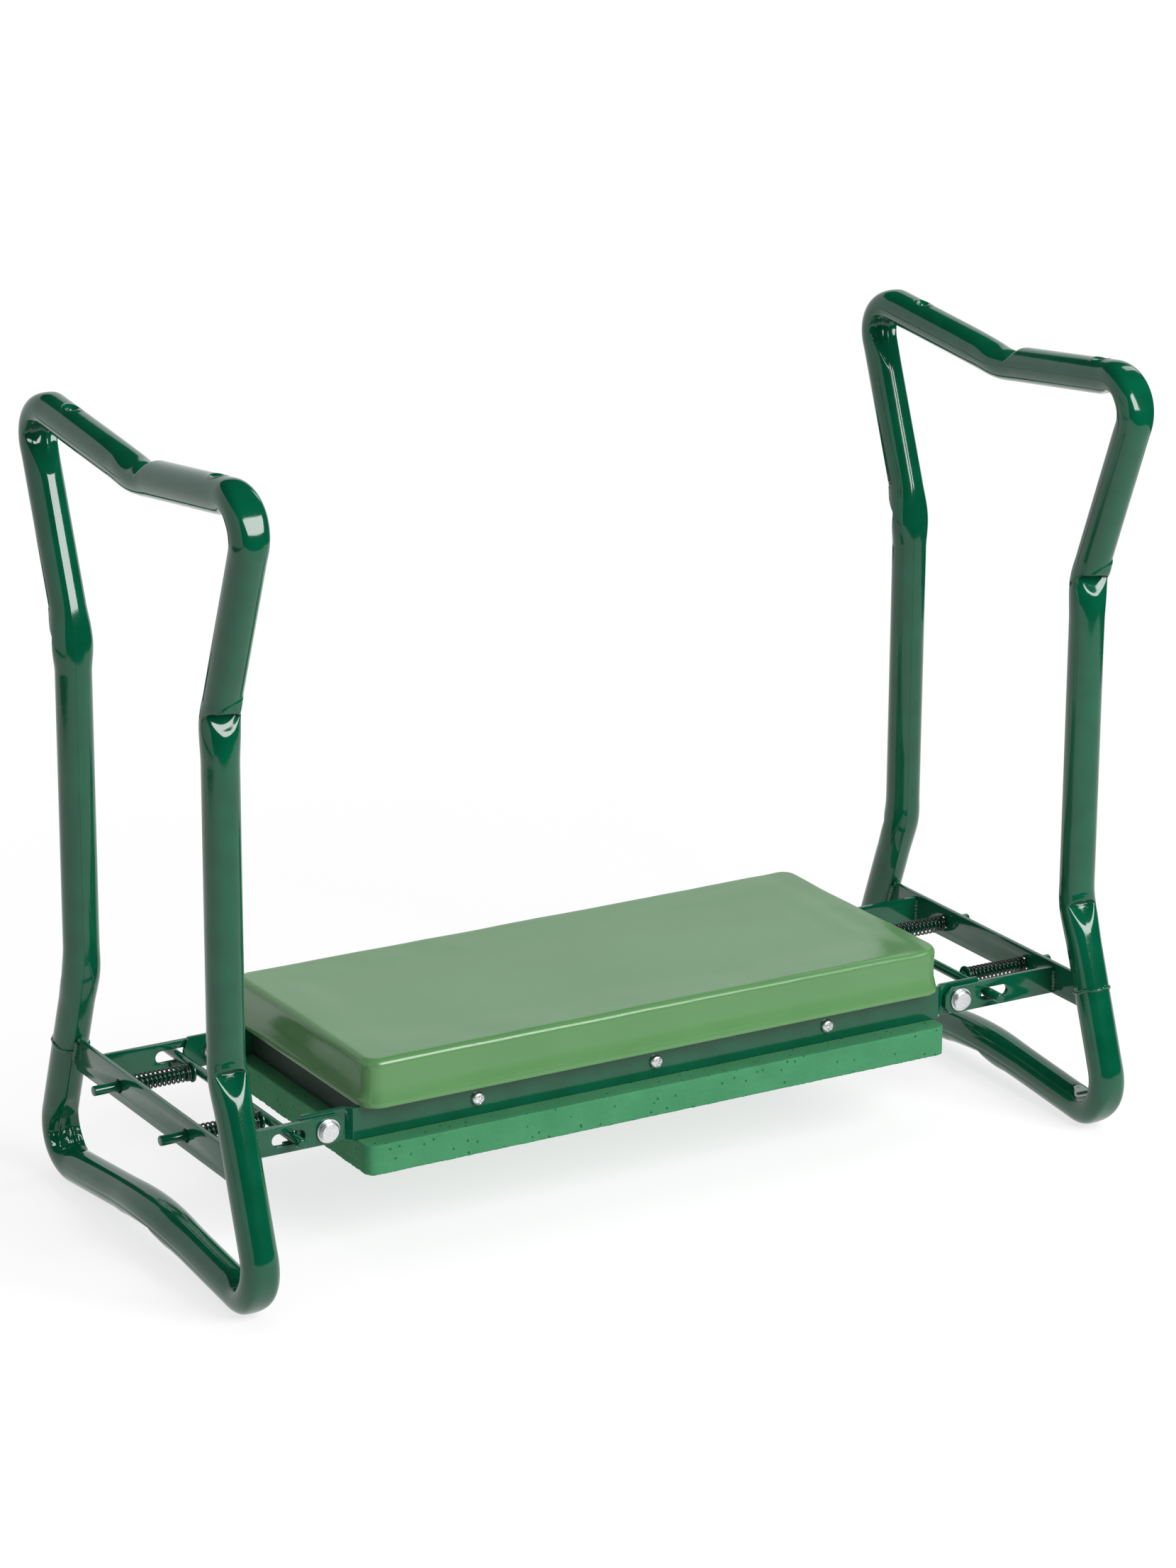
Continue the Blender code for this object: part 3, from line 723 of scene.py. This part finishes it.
def arm(side, sign):
    """A hinge arm, with its pin hole and the slot that the lock bar slides in."""
    pin_hole = 0.0041
    slot_start, slot_end, slot_half = 0.0143, 0.0355, 0.00375
    end = end_name(side, sign)
    low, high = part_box(f"{end}_arm")
    half = (high.z - low.z) / 2
    tip, tail, cut = high.x - low.x - ARM_TAIL, -ARM_TAIL, ARM_CHAMFER
    edge = [(tail + cut, -half), (tip, -half), (tip, half), (tail + cut, half)]
    edge += [(tail, half - cut), (tail, cut - half)]
    outlines = [edge, circle(0, 0, pin_hole), slot_outline(slot_start, slot_end, slot_half)]
    made = plate(f"{end}_hinge_arm", outlines, ARM_T)
    place = Matrix.Translation((HINGE_X, sign * (ARM_FACE_Y - ARM_T / 2), HINGE_Z))
    made.data.transform(place @ about("X", 90))
    finish_end(smooth(made, 32), side, f"{end}_arm")


def soften_cad(node, width, slot="green_powder_coat", surface=None):
    """Welds a CAD node that stays, softens its edges and gives it the fine material."""
    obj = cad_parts[node]
    weld = obj.modifiers.new("weld", "WELD")
    weld.merge_threshold = 1e-5
    soft = obj.modifiers.new("soft edges", "BEVEL")
    soft.width = width
    soft.segments = 3
    soft.limit_method = "ANGLE"
    soft.angle_limit = math.radians(32)
    soft.use_clamp_overlap = True
    paint(obj, surface or MATERIALS[slot])
    for face in obj.data.polygons:
        face.use_smooth = False


# --- locks, pins and screws


def round_bar(name, start, end, radius, nose, steps=5):
    """A bar between two points with rounded ends."""
    start, end = np.array(start, float), np.array(end, float)
    length = np.linalg.norm(end - start)
    profile = [(0.0, radius - nose)]
    for i in range(1, steps + 1):
        a = math.pi / 2 * i / steps
        profile.append((nose * (1 - math.cos(a)), radius - nose * (1 - math.sin(a))))
    both_ends = profile + [(length - at, r) for at, r in reversed(profile)]
    points = [start + (end - start) * at / length for at, _ in both_ends]
    return smooth(swept(name, points, [r for _, r in both_ends], 32), 40)


def lock(side):
    """The lock bar, and its two plungers with their spring collars."""
    overlap, rod_radius, rod_nose, collar_nose = 0.0008, 0.003, 0.0007, 0.0004

    low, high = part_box(f"{side}_lock_bar")
    x, radius = abs(low.x + high.x) / 2, (high.x - low.x) / 2
    bolt = round_bar(f"{side}_cross_bolt", (x, low.y, HINGE_Z), (x, high.y, HINGE_Z), radius, radius / 3)
    finish_end(bolt, side, f"{side}_lock_bar", part="lock")
    for sign in (-1, 1):
        end = end_name(side, sign)
        y = sign * PLUNGER_Y
        low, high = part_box(f"{end}_spring_collar")
        collar_radius = (high.z - low.z) / 2
        for name, node, extra, radius, nose in (
            ("rod", "plunger", overlap, rod_radius, rod_nose),
            ("collar", "spring_collar", 0.0, collar_radius, collar_nose),
        ):
            near, far = span(f"{end}_{node}", X)
            bar = round_bar(f"{end}_{name}", (near - extra, y, HINGE_Z), (far, y, HINGE_Z), radius, nose)
            finish_end(bar, side, f"{end}_{node}", part="lock")


def spring(side, sign):
    """A compression spring with closed end coils."""
    wire, coil = 0.00065, 0.0046
    closed_turns, open_turns, per_turn = 1.6, 12.4, 24
    closed_pitch = wire * 2.15
    phase = 0.9 if sign > 0 else 2.2
    end = end_name(side, sign)
    near, far = span(f"{end}_lock_spring", X)
    free = far - near - 2 * wire
    open_pitch = (free - 2 * closed_turns * closed_pitch) / open_turns
    turns = 2 * closed_turns + open_turns
    steps = int(turns * per_turn)
    t = turns * np.arange(steps + 1) / steps
    at_end = (t < closed_turns) | (t > turns - closed_turns)
    rise = np.where(at_end, closed_pitch, open_pitch) * turns / steps
    x = np.concatenate([[0], np.cumsum(rise)[:-1]])
    x = near + wire + x * free / x[-1]
    y = sign * PLUNGER_Y + coil * np.cos(TAU * t + phase)
    z = HINGE_Z + coil * np.sin(TAU * t + phase)
    made = smooth(swept(f"{end}_spring", np.column_stack([x, y, z]), [wire] * len(t), 10), 60)
    finish_end(made, side, f"{end}_lock_spring", slot="dark_spring")
    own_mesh(made)


def stand(obj, x, z, sign):
    """Lays a shape turned about Z on its side, so that its top faces front or rear."""
    obj.data.transform(Matrix.Translation((x, 0, z)) @ about("X", -90 * sign))


def hinge_pin(side, where, sign):
    """A hinge's pin, with a chamfered head in front and a spread end behind, and its washer."""
    clearance, shank = 0.0002, 0.004
    spread, spread_height, spread_chamfer, spread_end = 0.0056, 0.003, 0.0006, 0.0046
    washer_inner, washer_outer, washer_gap, washer_t = 0.0042, 0.0072, 0.0003, 0.0010
    end = f"{side}_{where}"
    low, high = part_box(f"{end}_hinge_pin")
    x, head = (low.x + high.x) / 2, (high.x - low.x) / 2
    inner, outer = span(f"{end}_hinge_pin", Y)
    under = span(f"{end}_hinge_washer", Y)[1] + clearance
    corners = [(0, outer), (head - 0.0011, outer), (head - 0.0005, outer - 0.0006), (head, outer - 0.0010)]
    corners += [(head, under), (shank, under), (shank, inner + spread_height), (spread, inner + spread_height)]
    corners += [(spread, inner + spread_chamfer), (spread_end, inner), (0, inner)]
    pin = grid_mesh(f"{end}_pivot", turned(rounded_profile(corners, 0.0003)))
    stand(smooth(pin, 40), x, HINGE_Z, sign)
    finish(pin, "seat", "bright_zinc", f"{end}_hinge_pin")
    bottom = ARM_FACE_Y + washer_gap
    top = bottom + washer_t
    ring = [(washer_outer, top), (washer_outer, bottom), (washer_inner, bottom), (washer_inner, top)]
    washer = grid_mesh(f"{end}_washer", turned(ring), closed=True)
    stand(smooth(washer, 40), x, HINGE_Z, sign)
    finish(washer, "seat", "bright_zinc", f"{end}_hinge_washer")


def screw(where, sign, place, degrees):
    """A pan-head screw with a cross recess."""
    gap, sides, rows, smallest = 0.00015, 96, 40, 0.004
    rim_share, dome_power = 0.35, 3.2
    arm_half, arm_soft, arm_reach, bowl_radius, edge_soft = 0.00052, 0.00006, 0.0022, 0.0009, 0.0001
    recess, shank, tip_length, tip = 0.0012, 0.002, 0.003, 0.0003
    node = f"{where}_rail_screw_{place}"
    middle, (low, high) = box_middle(node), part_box(node)
    inner, outer = span(node, Y)
    head = (high.x - low.x) / 2
    face = ARM_FACE_Y + gap
    angles = np.arange(sides) * TAU / sides
    cos, sin = np.cos(angles), np.sin(angles)
    larger, smaller = np.maximum(np.abs(cos), np.abs(sin)), np.minimum(np.abs(cos), np.abs(sin))
    rings = []
    for i in range(rows + 1):
        share = max(i / rows, smallest)
        r = head * share
        dome = (outer - face) * (rim_share + (1 - rim_share) * math.sqrt(max(0.0, 1 - share**dome_power)))
        inside = 1 / (1 + np.exp((r * smaller - arm_half) / arm_soft))
        inside = inside / (1 + np.exp((r * larger - arm_reach) / edge_soft))
        bowl = 1 / (1 + np.exp((r - bowl_radius) / edge_soft))
        depth = recess * np.maximum(inside, bowl)
        rings.append(np.stack([r * cos, r * sin, face + dome - depth], axis=1))
    for r, y in ((head, face), (shank, face), (shank, inner + tip_length), (tip, inner)):
        rings.append(np.stack([r * cos, r * sin, np.full(sides, y)], axis=1))
    made = grid_mesh(f"{where}_screw_{place}", np.array(rings))
    made.data.transform(about("Z", degrees))
    stand(smooth(made, 50), middle.x, middle.z, sign)
    finish(made, "seat", "bright_zinc", node)


# --- weld beads


def bead(name, ends, radius, seed, side):
    """A weld bead between two points: a lumpy run of overlapping ripples with rounded ends."""
    spacing, pitch = 0.0003, 0.0024
    start, end = np.array(ends, float)
    total = np.linalg.norm(end - start)
    along = np.linspace(0, total, max(10, int(total / spacing)))
    line = start + (end - start) * (along / total)[:, None]
    to_end = np.minimum(along, total - along) / (radius * 1.1)
    taper = np.sqrt(np.clip(1 - (1 - to_end).clip(0, 1) ** 2, 0.02, 1))
    ripple = 1 + 0.10 * np.abs(np.sin(along / pitch * math.pi)) + 0.14 * lumps(line, 220, seed)
    made = swept(name, line, radius * taper * ripple, 20)
    moved = lumps([v.co for v in made.data.vertices], 420, seed + 5) * radius * 0.12
    for vert, shift in zip(made.data.vertices, moved):
        vert.co += vert.normal * shift
    finish_end(smooth(made), side)


def welds(side):
    """The beads between each leg and the cross plate, and between each arm and the cross plate."""
    leg_bead, top_bead, arm_bead = 0.0019, 0.0021, 0.0019
    top_inset, overhang = 0.001, 0.0006
    low, high, top_y = plate_box()
    for sign in (-1, 1):
        end = end_name(side, sign)
        foot_y, head_y = sign * high.y, sign * top_y
        for face, x in (("outer", high.x), ("inner", low.x)):
            path = [(x, foot_y, low.z + 0.005), (x, head_y, high.z - 0.001)]
            bead(f"{end}_{face}_leg_weld", path, leg_bead, 3 + sign, side)
        y = sign * (top_y - top_inset)
        path = [(low.x - overhang, y, high.z), (high.x + overhang, y, high.z)]
        bead(f"{end}_top_leg_weld", path, top_bead, 8 + sign, side)
        arm_low, arm_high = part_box(f"{end}_arm")
        x = low.x - 0.0002
        for face, y in (("outer", ARM_FACE_Y), ("inner", ARM_FACE_Y - ARM_T)):
            path = [(x, sign * y, arm_low.z + 0.0015), (x, sign * y, arm_high.z - 0.0010)]
            bead(f"{end}_{face}_arm_weld", path, arm_bead, 12 + sign, side)


def butt_weld(side):
    """The lumpy ring where the ends of the tube meet, low in one leg."""
    height, near, steps, ripples = 0.0870, 0.004, 120, 14
    size, sunk, weave = 0.0012, 0.0004, 0.0005
    points, *_, radius = loop_place()
    plane_x = box_middle("right_tube_loop").x
    on_leg = np.where((points[:, 0] < 0) & (np.abs(points[:, 1] - height) < near))[0]
    k = on_leg[len(on_leg) // 2]
    tangent = unit(points[k + 1] - points[k - 1])
    outward = np.array([-tangent[1], tangent[0]])
    a = TAU * np.arange(steps) / steps
    skin = radius - sunk
    across = points[k] + np.outer(np.cos(a) * skin, outward) + np.outer(weave * np.sin(5 * a), tangent)
    line = np.column_stack([plane_x + np.sin(a) * skin, across])
    ripple = np.abs(np.sin(np.arange(steps) / steps * ripples * math.pi))
    radii = size * (1 + 0.28 * lumps(line, 260, 21) + 0.16 * ripple)
    finish_end(smooth(swept(f"{side}_butt_weld", line, radii, 16, closed=True)), side)


# --- pad and foam


def rounded_rectangle(half_x, half_y, corner, inset, per_corner, along_x, along_y):
    """Points round a rectangle with round corners, pushed in by an inset. Their number stays the same."""
    smallest = 1e-4
    hx, hy = max(half_x - inset, smallest), max(half_y - inset, smallest)
    r = min(max(corner - inset, 0.0), hx, hy)
    arcs = []
    for i, (sx, sy) in enumerate(((1, 1), (-1, 1), (-1, -1), (1, -1))):
        a = np.radians(90 * (i + np.arange(per_corner + 1) / per_corner))
        arcs.append(np.column_stack([sx * (hx - r) + r * np.cos(a), sy * (hy - r) + r * np.sin(a)]))
    points = []
    for here, there, count in zip(arcs, arcs[1:] + arcs[:1], (along_x, along_y) * 2):
        t = np.arange(1, count)[:, None] / count
        points += [here, here[-1] + (there[0] - here[-1]) * t]
    return np.concatenate(points)


def moulded_slab(half_x, half_y, corner, profile, per_corner, along_x, along_y):
    """The rings of a slab, from its side's (inset, height) pairs."""
    rings = []
    for inset, height in profile:
        outline = rounded_rectangle(half_x, half_y, corner, inset, per_corner, along_x, along_y)
        rings.append(np.column_stack([outline, np.full(len(outline), height)]))
    return np.array(rings)


def arc(centre, radius, start, end, steps):
    """(inset, height) points on an arc; angle 0 points outwards, which is a smaller inset."""
    angles = [math.radians(start + (end - start) * i / steps) for i in range(steps + 1)]
    return [(centre[0] - radius * math.cos(a), centre[1] + radius * math.sin(a)) for a in angles]


def pad_profile(low_z, high_z, half_y, flat_from):
    """The moulded pad's side: a turned-in foot, a small lip, a slightly hollow wall and a rolled edge."""
    foot_inset, foot_radius, foot_top = 0.0004, 0.0012, 0.0026
    lip, lip_rise = 0.0008, 0.0035
    wall_inset, wall_hollow = 0.0019, 0.0004
    edge, edge_end, steps, spread = 0.0044, 84, 14, 1.2
    profile = [(inset, low_z) for inset in (half_y - 0.004, 0.030, 0.010, 0.0022)]
    profile += arc((foot_inset + foot_radius, low_z + foot_radius), foot_radius, -80, 0, 4)
    for t in (0, 0.25, 0.5, 0.75, 1.0):
        profile.append((foot_inset + lip * step_up(t), low_z + foot_top + lip_rise * t))
    wall_low, wall_top = low_z + foot_top + lip_rise, high_z - edge
    for t in (0.2, 0.4, 0.6, 0.8):
        inset = wall_inset + wall_hollow * math.sin(t * math.pi)
        profile.append((inset, wall_low + (wall_top - wall_low) * t))
    inset = wall_inset + edge
    profile += arc((inset, wall_top), edge, 0, edge_end, steps)
    for step in range(1, steps + 1):
        profile.append((inset + (flat_from - inset) * (step / steps) ** spread, high_z))
    return profile


def kneeling_pad():
    corner, flat_from, level_from, level_run = 0.013, 0.046, 0.022, 0.022
    draw_y, draw_x, sink = 0.010, 0.0045, 0.0009
    rim_height, rim_at, hollow_at, rim_width = 0.0009, 0.0050, 0.0220, 0.0070
    low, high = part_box("kneeling_pad")
    half_x, half_y = high.x, high.y
    profile = pad_profile(low.z, high.z, half_y, flat_from)
    rings = moulded_slab(half_x, half_y, corner, profile, 10, 90, 44)
    x, y, z = rings[:, :, X], rings[:, :, Y], rings[:, :, Z]
    up = np.clip((z - low.z) / (high.z - low.z), 0, 1)
    # The long and short sides draw in between the corners, and the top sinks a little towards its middle.
    rings[:, :, Y] = y * (1 - draw_y * (1 - (x / half_x) ** 2) * np.sqrt(up))
    rings[:, :, X] = x * (1 - draw_x * (1 - (y / half_y) ** 2) * np.sqrt(up))
    middle = (1 - (x / half_x) ** 4) * (1 - (y / half_y) ** 4)
    rings[:, :, Z] -= sink * up**3 * middle
    # A soft rim stands along the right end, more so at the front.
    rim = ridge(x - (half_x - rim_at), rim_width) - 0.5 * ridge(x - (half_x - hollow_at), rim_width)
    rings[:, :, Z] += rim_height * rim * up**6 * (0.35 + 0.65 * step_up(0.5 - y / half_y))
    flat_points = rings.reshape(-1, 3)
    waves = lumps(flat_points, 26, 4) * 0.00035 + lumps(flat_points, 75, 9) * 0.00010
    rings[:, :, Z] += waves.reshape(x.shape) * up**2
    side = lumps(flat_points, 34, 14).reshape(x.shape) * 0.0004
    rings[:, :, Y] += side * np.sign(y) * (np.abs(y) / half_y) ** 6 * np.sin(up * math.pi)
    # The middle of the top is one level face, which the waves run out into.
    insets = np.array([inset for inset, _ in profile])
    level = step_up((insets - level_from) / level_run)[:, None] * (up[:, :1] > 0.5)
    rings[:, :, Z] = rings[:, :, Z] * (1 - level) + (high.z - sink) * level
    rings[:, :, Z] = np.minimum(rings[:, :, Z], high.z)
    finish(smooth(grid_mesh("moulded_pad", rings), 60), "seat", "pad_skin", "kneeling_pad")


def foam():
    """The foam slab, its sides sawn and its lower edge ragged."""
    corner, soft, side_rows = 0.007, 0.0007, 22
    rim_from, rim_run, rough_shift, ragged_height = 0.985, 0.012, 0.0003, 0.0030
    low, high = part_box("foam_slab")
    half_x, half_y = high.x, high.y
    profile = [(inset, low.z) for inset in (half_y - 0.004, 0.040, 0.004, 0.0015)]
    profile += arc((soft, low.z + soft), soft, -80, 0, 3)
    for step in range(1, side_rows):
        profile.append((0.0, low.z + soft + (high.z - low.z - 2 * soft) * step / side_rows))
    profile += arc((soft, high.z - soft), soft, 0, 80, 3)
    profile += [(inset, high.z) for inset in (0.0015, 0.004, 0.010, 0.020, half_y - 0.004)]
    rings = moulded_slab(half_x, half_y, corner, profile, 8, 330, 150)
    points = rings.reshape(-1, 3)
    x, y, z = points.T
    rim = np.maximum(np.abs(x) / half_x, np.abs(y) / half_y)
    at_side = np.clip((rim - rim_from) / rim_run, 0, 1)
    rough = lumps(points, 60, 2) * 0.00035 + lumps(points, 330, 3) * 0.00022
    rough = (rough - rough_shift) * at_side
    outward = np.stack([x / half_x, y / half_y], axis=1) ** 9
    outward /= np.maximum(np.linalg.norm(outward, axis=1)[:, None], 1e-6)
    points[:, :2] += outward * rough[:, None]
    at_foot = np.clip(1 - (z - low.z) / ragged_height, 0, 1) * at_side
    ragged = np.abs(lumps(points, 520, 6)) * 0.0011 + np.abs(lumps(points, 900, 7)) * 0.0005
    points[:, Z] += ragged * at_foot
    finish(smooth(grid_mesh("foam_seat", rings), 50), "seat", "eva_foam", "foam_slab")


# --- studio and camera


def shader_mix(tree, factor, first, second):
    mix = tree.nodes.new("ShaderNodeMixShader")
    for output, socket in zip((factor, first, second), mix.inputs):
        tree.links.new(output, socket)
    return mix.outputs[0]


def staged(name, points, faces, surface):
    """A surface of the studio, which isn't part of the object."""
    mesh = bpy.data.meshes.new(name)
    mesh.from_pydata(points, [], faces)
    mesh.materials.append(surface)
    made = new_object(name, mesh)
    return made


def studio_floor():
    """A pale floor that turns evenly white far from the object, where it meets the backdrop."""
    size, near, far, near_share = 1.25, 0.25, 0.80, 0.72
    n = Nodes("studio_floor", base_color=(0.92, 0.92, 0.92, 1), roughness=0.9, specular_ior_level=0.1)
    distance = n.add("ShaderNodeVectorMath")
    distance.operation = "LENGTH"
    n.link(n.position, distance.inputs[0])
    glow = n.add("ShaderNodeEmission", strength=1.0)
    share = n.spread(distance.outputs["Value"], near_share, 1.0, near, far)
    n.link(shader_mix(n.tree, share, n.shader.outputs[0], glow.outputs[0]), n.surface)
    corners = [(-size, -size, 0), (size, -size, 0), (size, size, 0), (-size, size, 0)]
    staged("studio_floor", corners, [(0, 1, 2, 3)], n.material)


def surroundings():
    """A white backdrop, even light from all round, and almost nothing for glossy surfaces to reflect."""
    world = bpy.context.scene.world or bpy.data.worlds.new("studio")
    bpy.context.scene.world = world
    world.use_nodes = True
    tree = world.node_tree
    tree.nodes.clear()

    def background(colour, strength):
        node = tree.nodes.new("ShaderNodeBackground")
        node.inputs["Color"].default_value = (*colour, 1)
        node.inputs["Strength"].default_value = strength
        return node.outputs[0]

    out = tree.nodes.new("ShaderNodeOutputWorld")
    paths = tree.nodes.new("ShaderNodeLightPath").outputs
    white = (1, 1, 1)
    dark, even, backdrop = background((0.9, 0.95, 1), 0.015), background(white, 0.44), background(white, 1)
    lit = shader_mix(tree, paths["Is Glossy Ray"], even, dark)
    tree.links.new(shader_mix(tree, paths["Is Camera Ray"], lit, backdrop), out.inputs["Surface"])


def backdrop_wall():
    """A low white wall behind the object, round its far side. Only reflections see it."""
    radius, height, steps, first, last = 1.5, 1.25, 48, 25, 215
    points, faces = [], []
    for i in range(steps + 1):
        a = math.radians(first + (last - first) * i / steps)
        points += [(radius * math.cos(a), radius * math.sin(a), z) for z in (0.0, height)]
    for i in range(steps):
        faces.append((2 * i, 2 * i + 2, 2 * i + 3, 2 * i + 1))
    n = Nodes("studio_wall")
    glow = n.add("ShaderNodeEmission", color=(0.95, 0.98, 1.0, 1), strength=0.95)
    n.link(glow.outputs[0], n.surface)
    wall = staged("studio_wall", points, faces, n.material)
    wall.visible_camera = wall.visible_diffuse = wall.visible_shadow = False


def softbox(name, place, target, width, height, radiance, in_reflections=True):
    """A rectangular area light of a given brightness, aimed at a point."""
    data = bpy.data.lights.new(name, "AREA")
    data.shape = "RECTANGLE"
    data.size, data.size_y = width, height
    data.energy = radiance * math.pi * width * height
    lamp = new_object(name, data)
    lamp.location = place
    lamp.rotation_euler = (Vector(target) - Vector(place)).to_track_quat("-Z", "Y").to_euler()
    lamp.visible_glossy = in_reflections


def aimed_from(target, azimuth, elevation, distance):
    """A place at a distance from the target, in a direction given in degrees."""
    a, e = math.radians(azimuth), math.radians(elevation)
    away = Vector((math.cos(a) * math.cos(e), math.sin(a) * math.cos(e), math.sin(e)))
    return target + away * distance


def lights():
    middle = Vector((0.0, 0.0, 0.20))
    softbox("key", aimed_from(middle, -73, 33, 2.4), middle, width=1.45, height=1.2, radiance=13)
    softbox("side", aimed_from(middle, 20, 42, 2.6), middle, width=0.5, height=1.0, radiance=4)
    softbox("overhead", (0.1, 0.3, 3.2), middle, width=2.6, height=2.0, radiance=1, in_reflections=False)


def camera():
    """The camera, at the viewing angle that the object is shown from."""
    place = (-1.3932, -2.3585, 1.1077)
    yaw, pitch, roll = -30.54, 17.68, 0.284
    data = bpy.data.cameras.new("camera")
    data.sensor_fit = "VERTICAL"
    data.sensor_height = 36
    data.lens = 111.1
    data.clip_end = 50
    eye = new_object("camera", data)
    eye.matrix_world = Matrix.Translation(place) @ about("Z", yaw) @ about("X", 90 - pitch) @ about("Z", roll)
    bpy.context.scene.camera = eye


# --- assembly


def build():
    rail_edge, board_edge, rear_turn = 0.0004, 0.0006, 17
    for side in SIDES:
        tube_loop(side)
        cross_plate(side)
        lock(side)
        for sign in (-1, 1):
            arm(side, sign)
            spring(side, sign)
        welds(side)
        butt_weld(side)
        for where, sign in FRONT_AND_REAR:
            hinge_pin(side, where, sign)
    for where, sign in FRONT_AND_REAR:
        soften_cad(f"{where}_rail", rail_edge)
        for place, degrees in (("left", 12), ("middle", 38), ("right", 60)):
            screw(where, sign, place, degrees + (0 if where == "front" else rear_turn))
    # the end walls get the darkened coat, which paints the shade under the pad's overhang
    dull = painted_shade_coat()
    for node in ("left_end_wall", "right_end_wall"):
        soften_cad(node, rail_edge, surface=dull)
    soften_cad("seat_board", board_edge, "board_wood")
    kneeling_pad()
    foam()


build()
studio_floor()
surroundings()
backdrop_wall()
lights()
camera()
bpy.context.scene.view_settings.view_transform = "Standard"
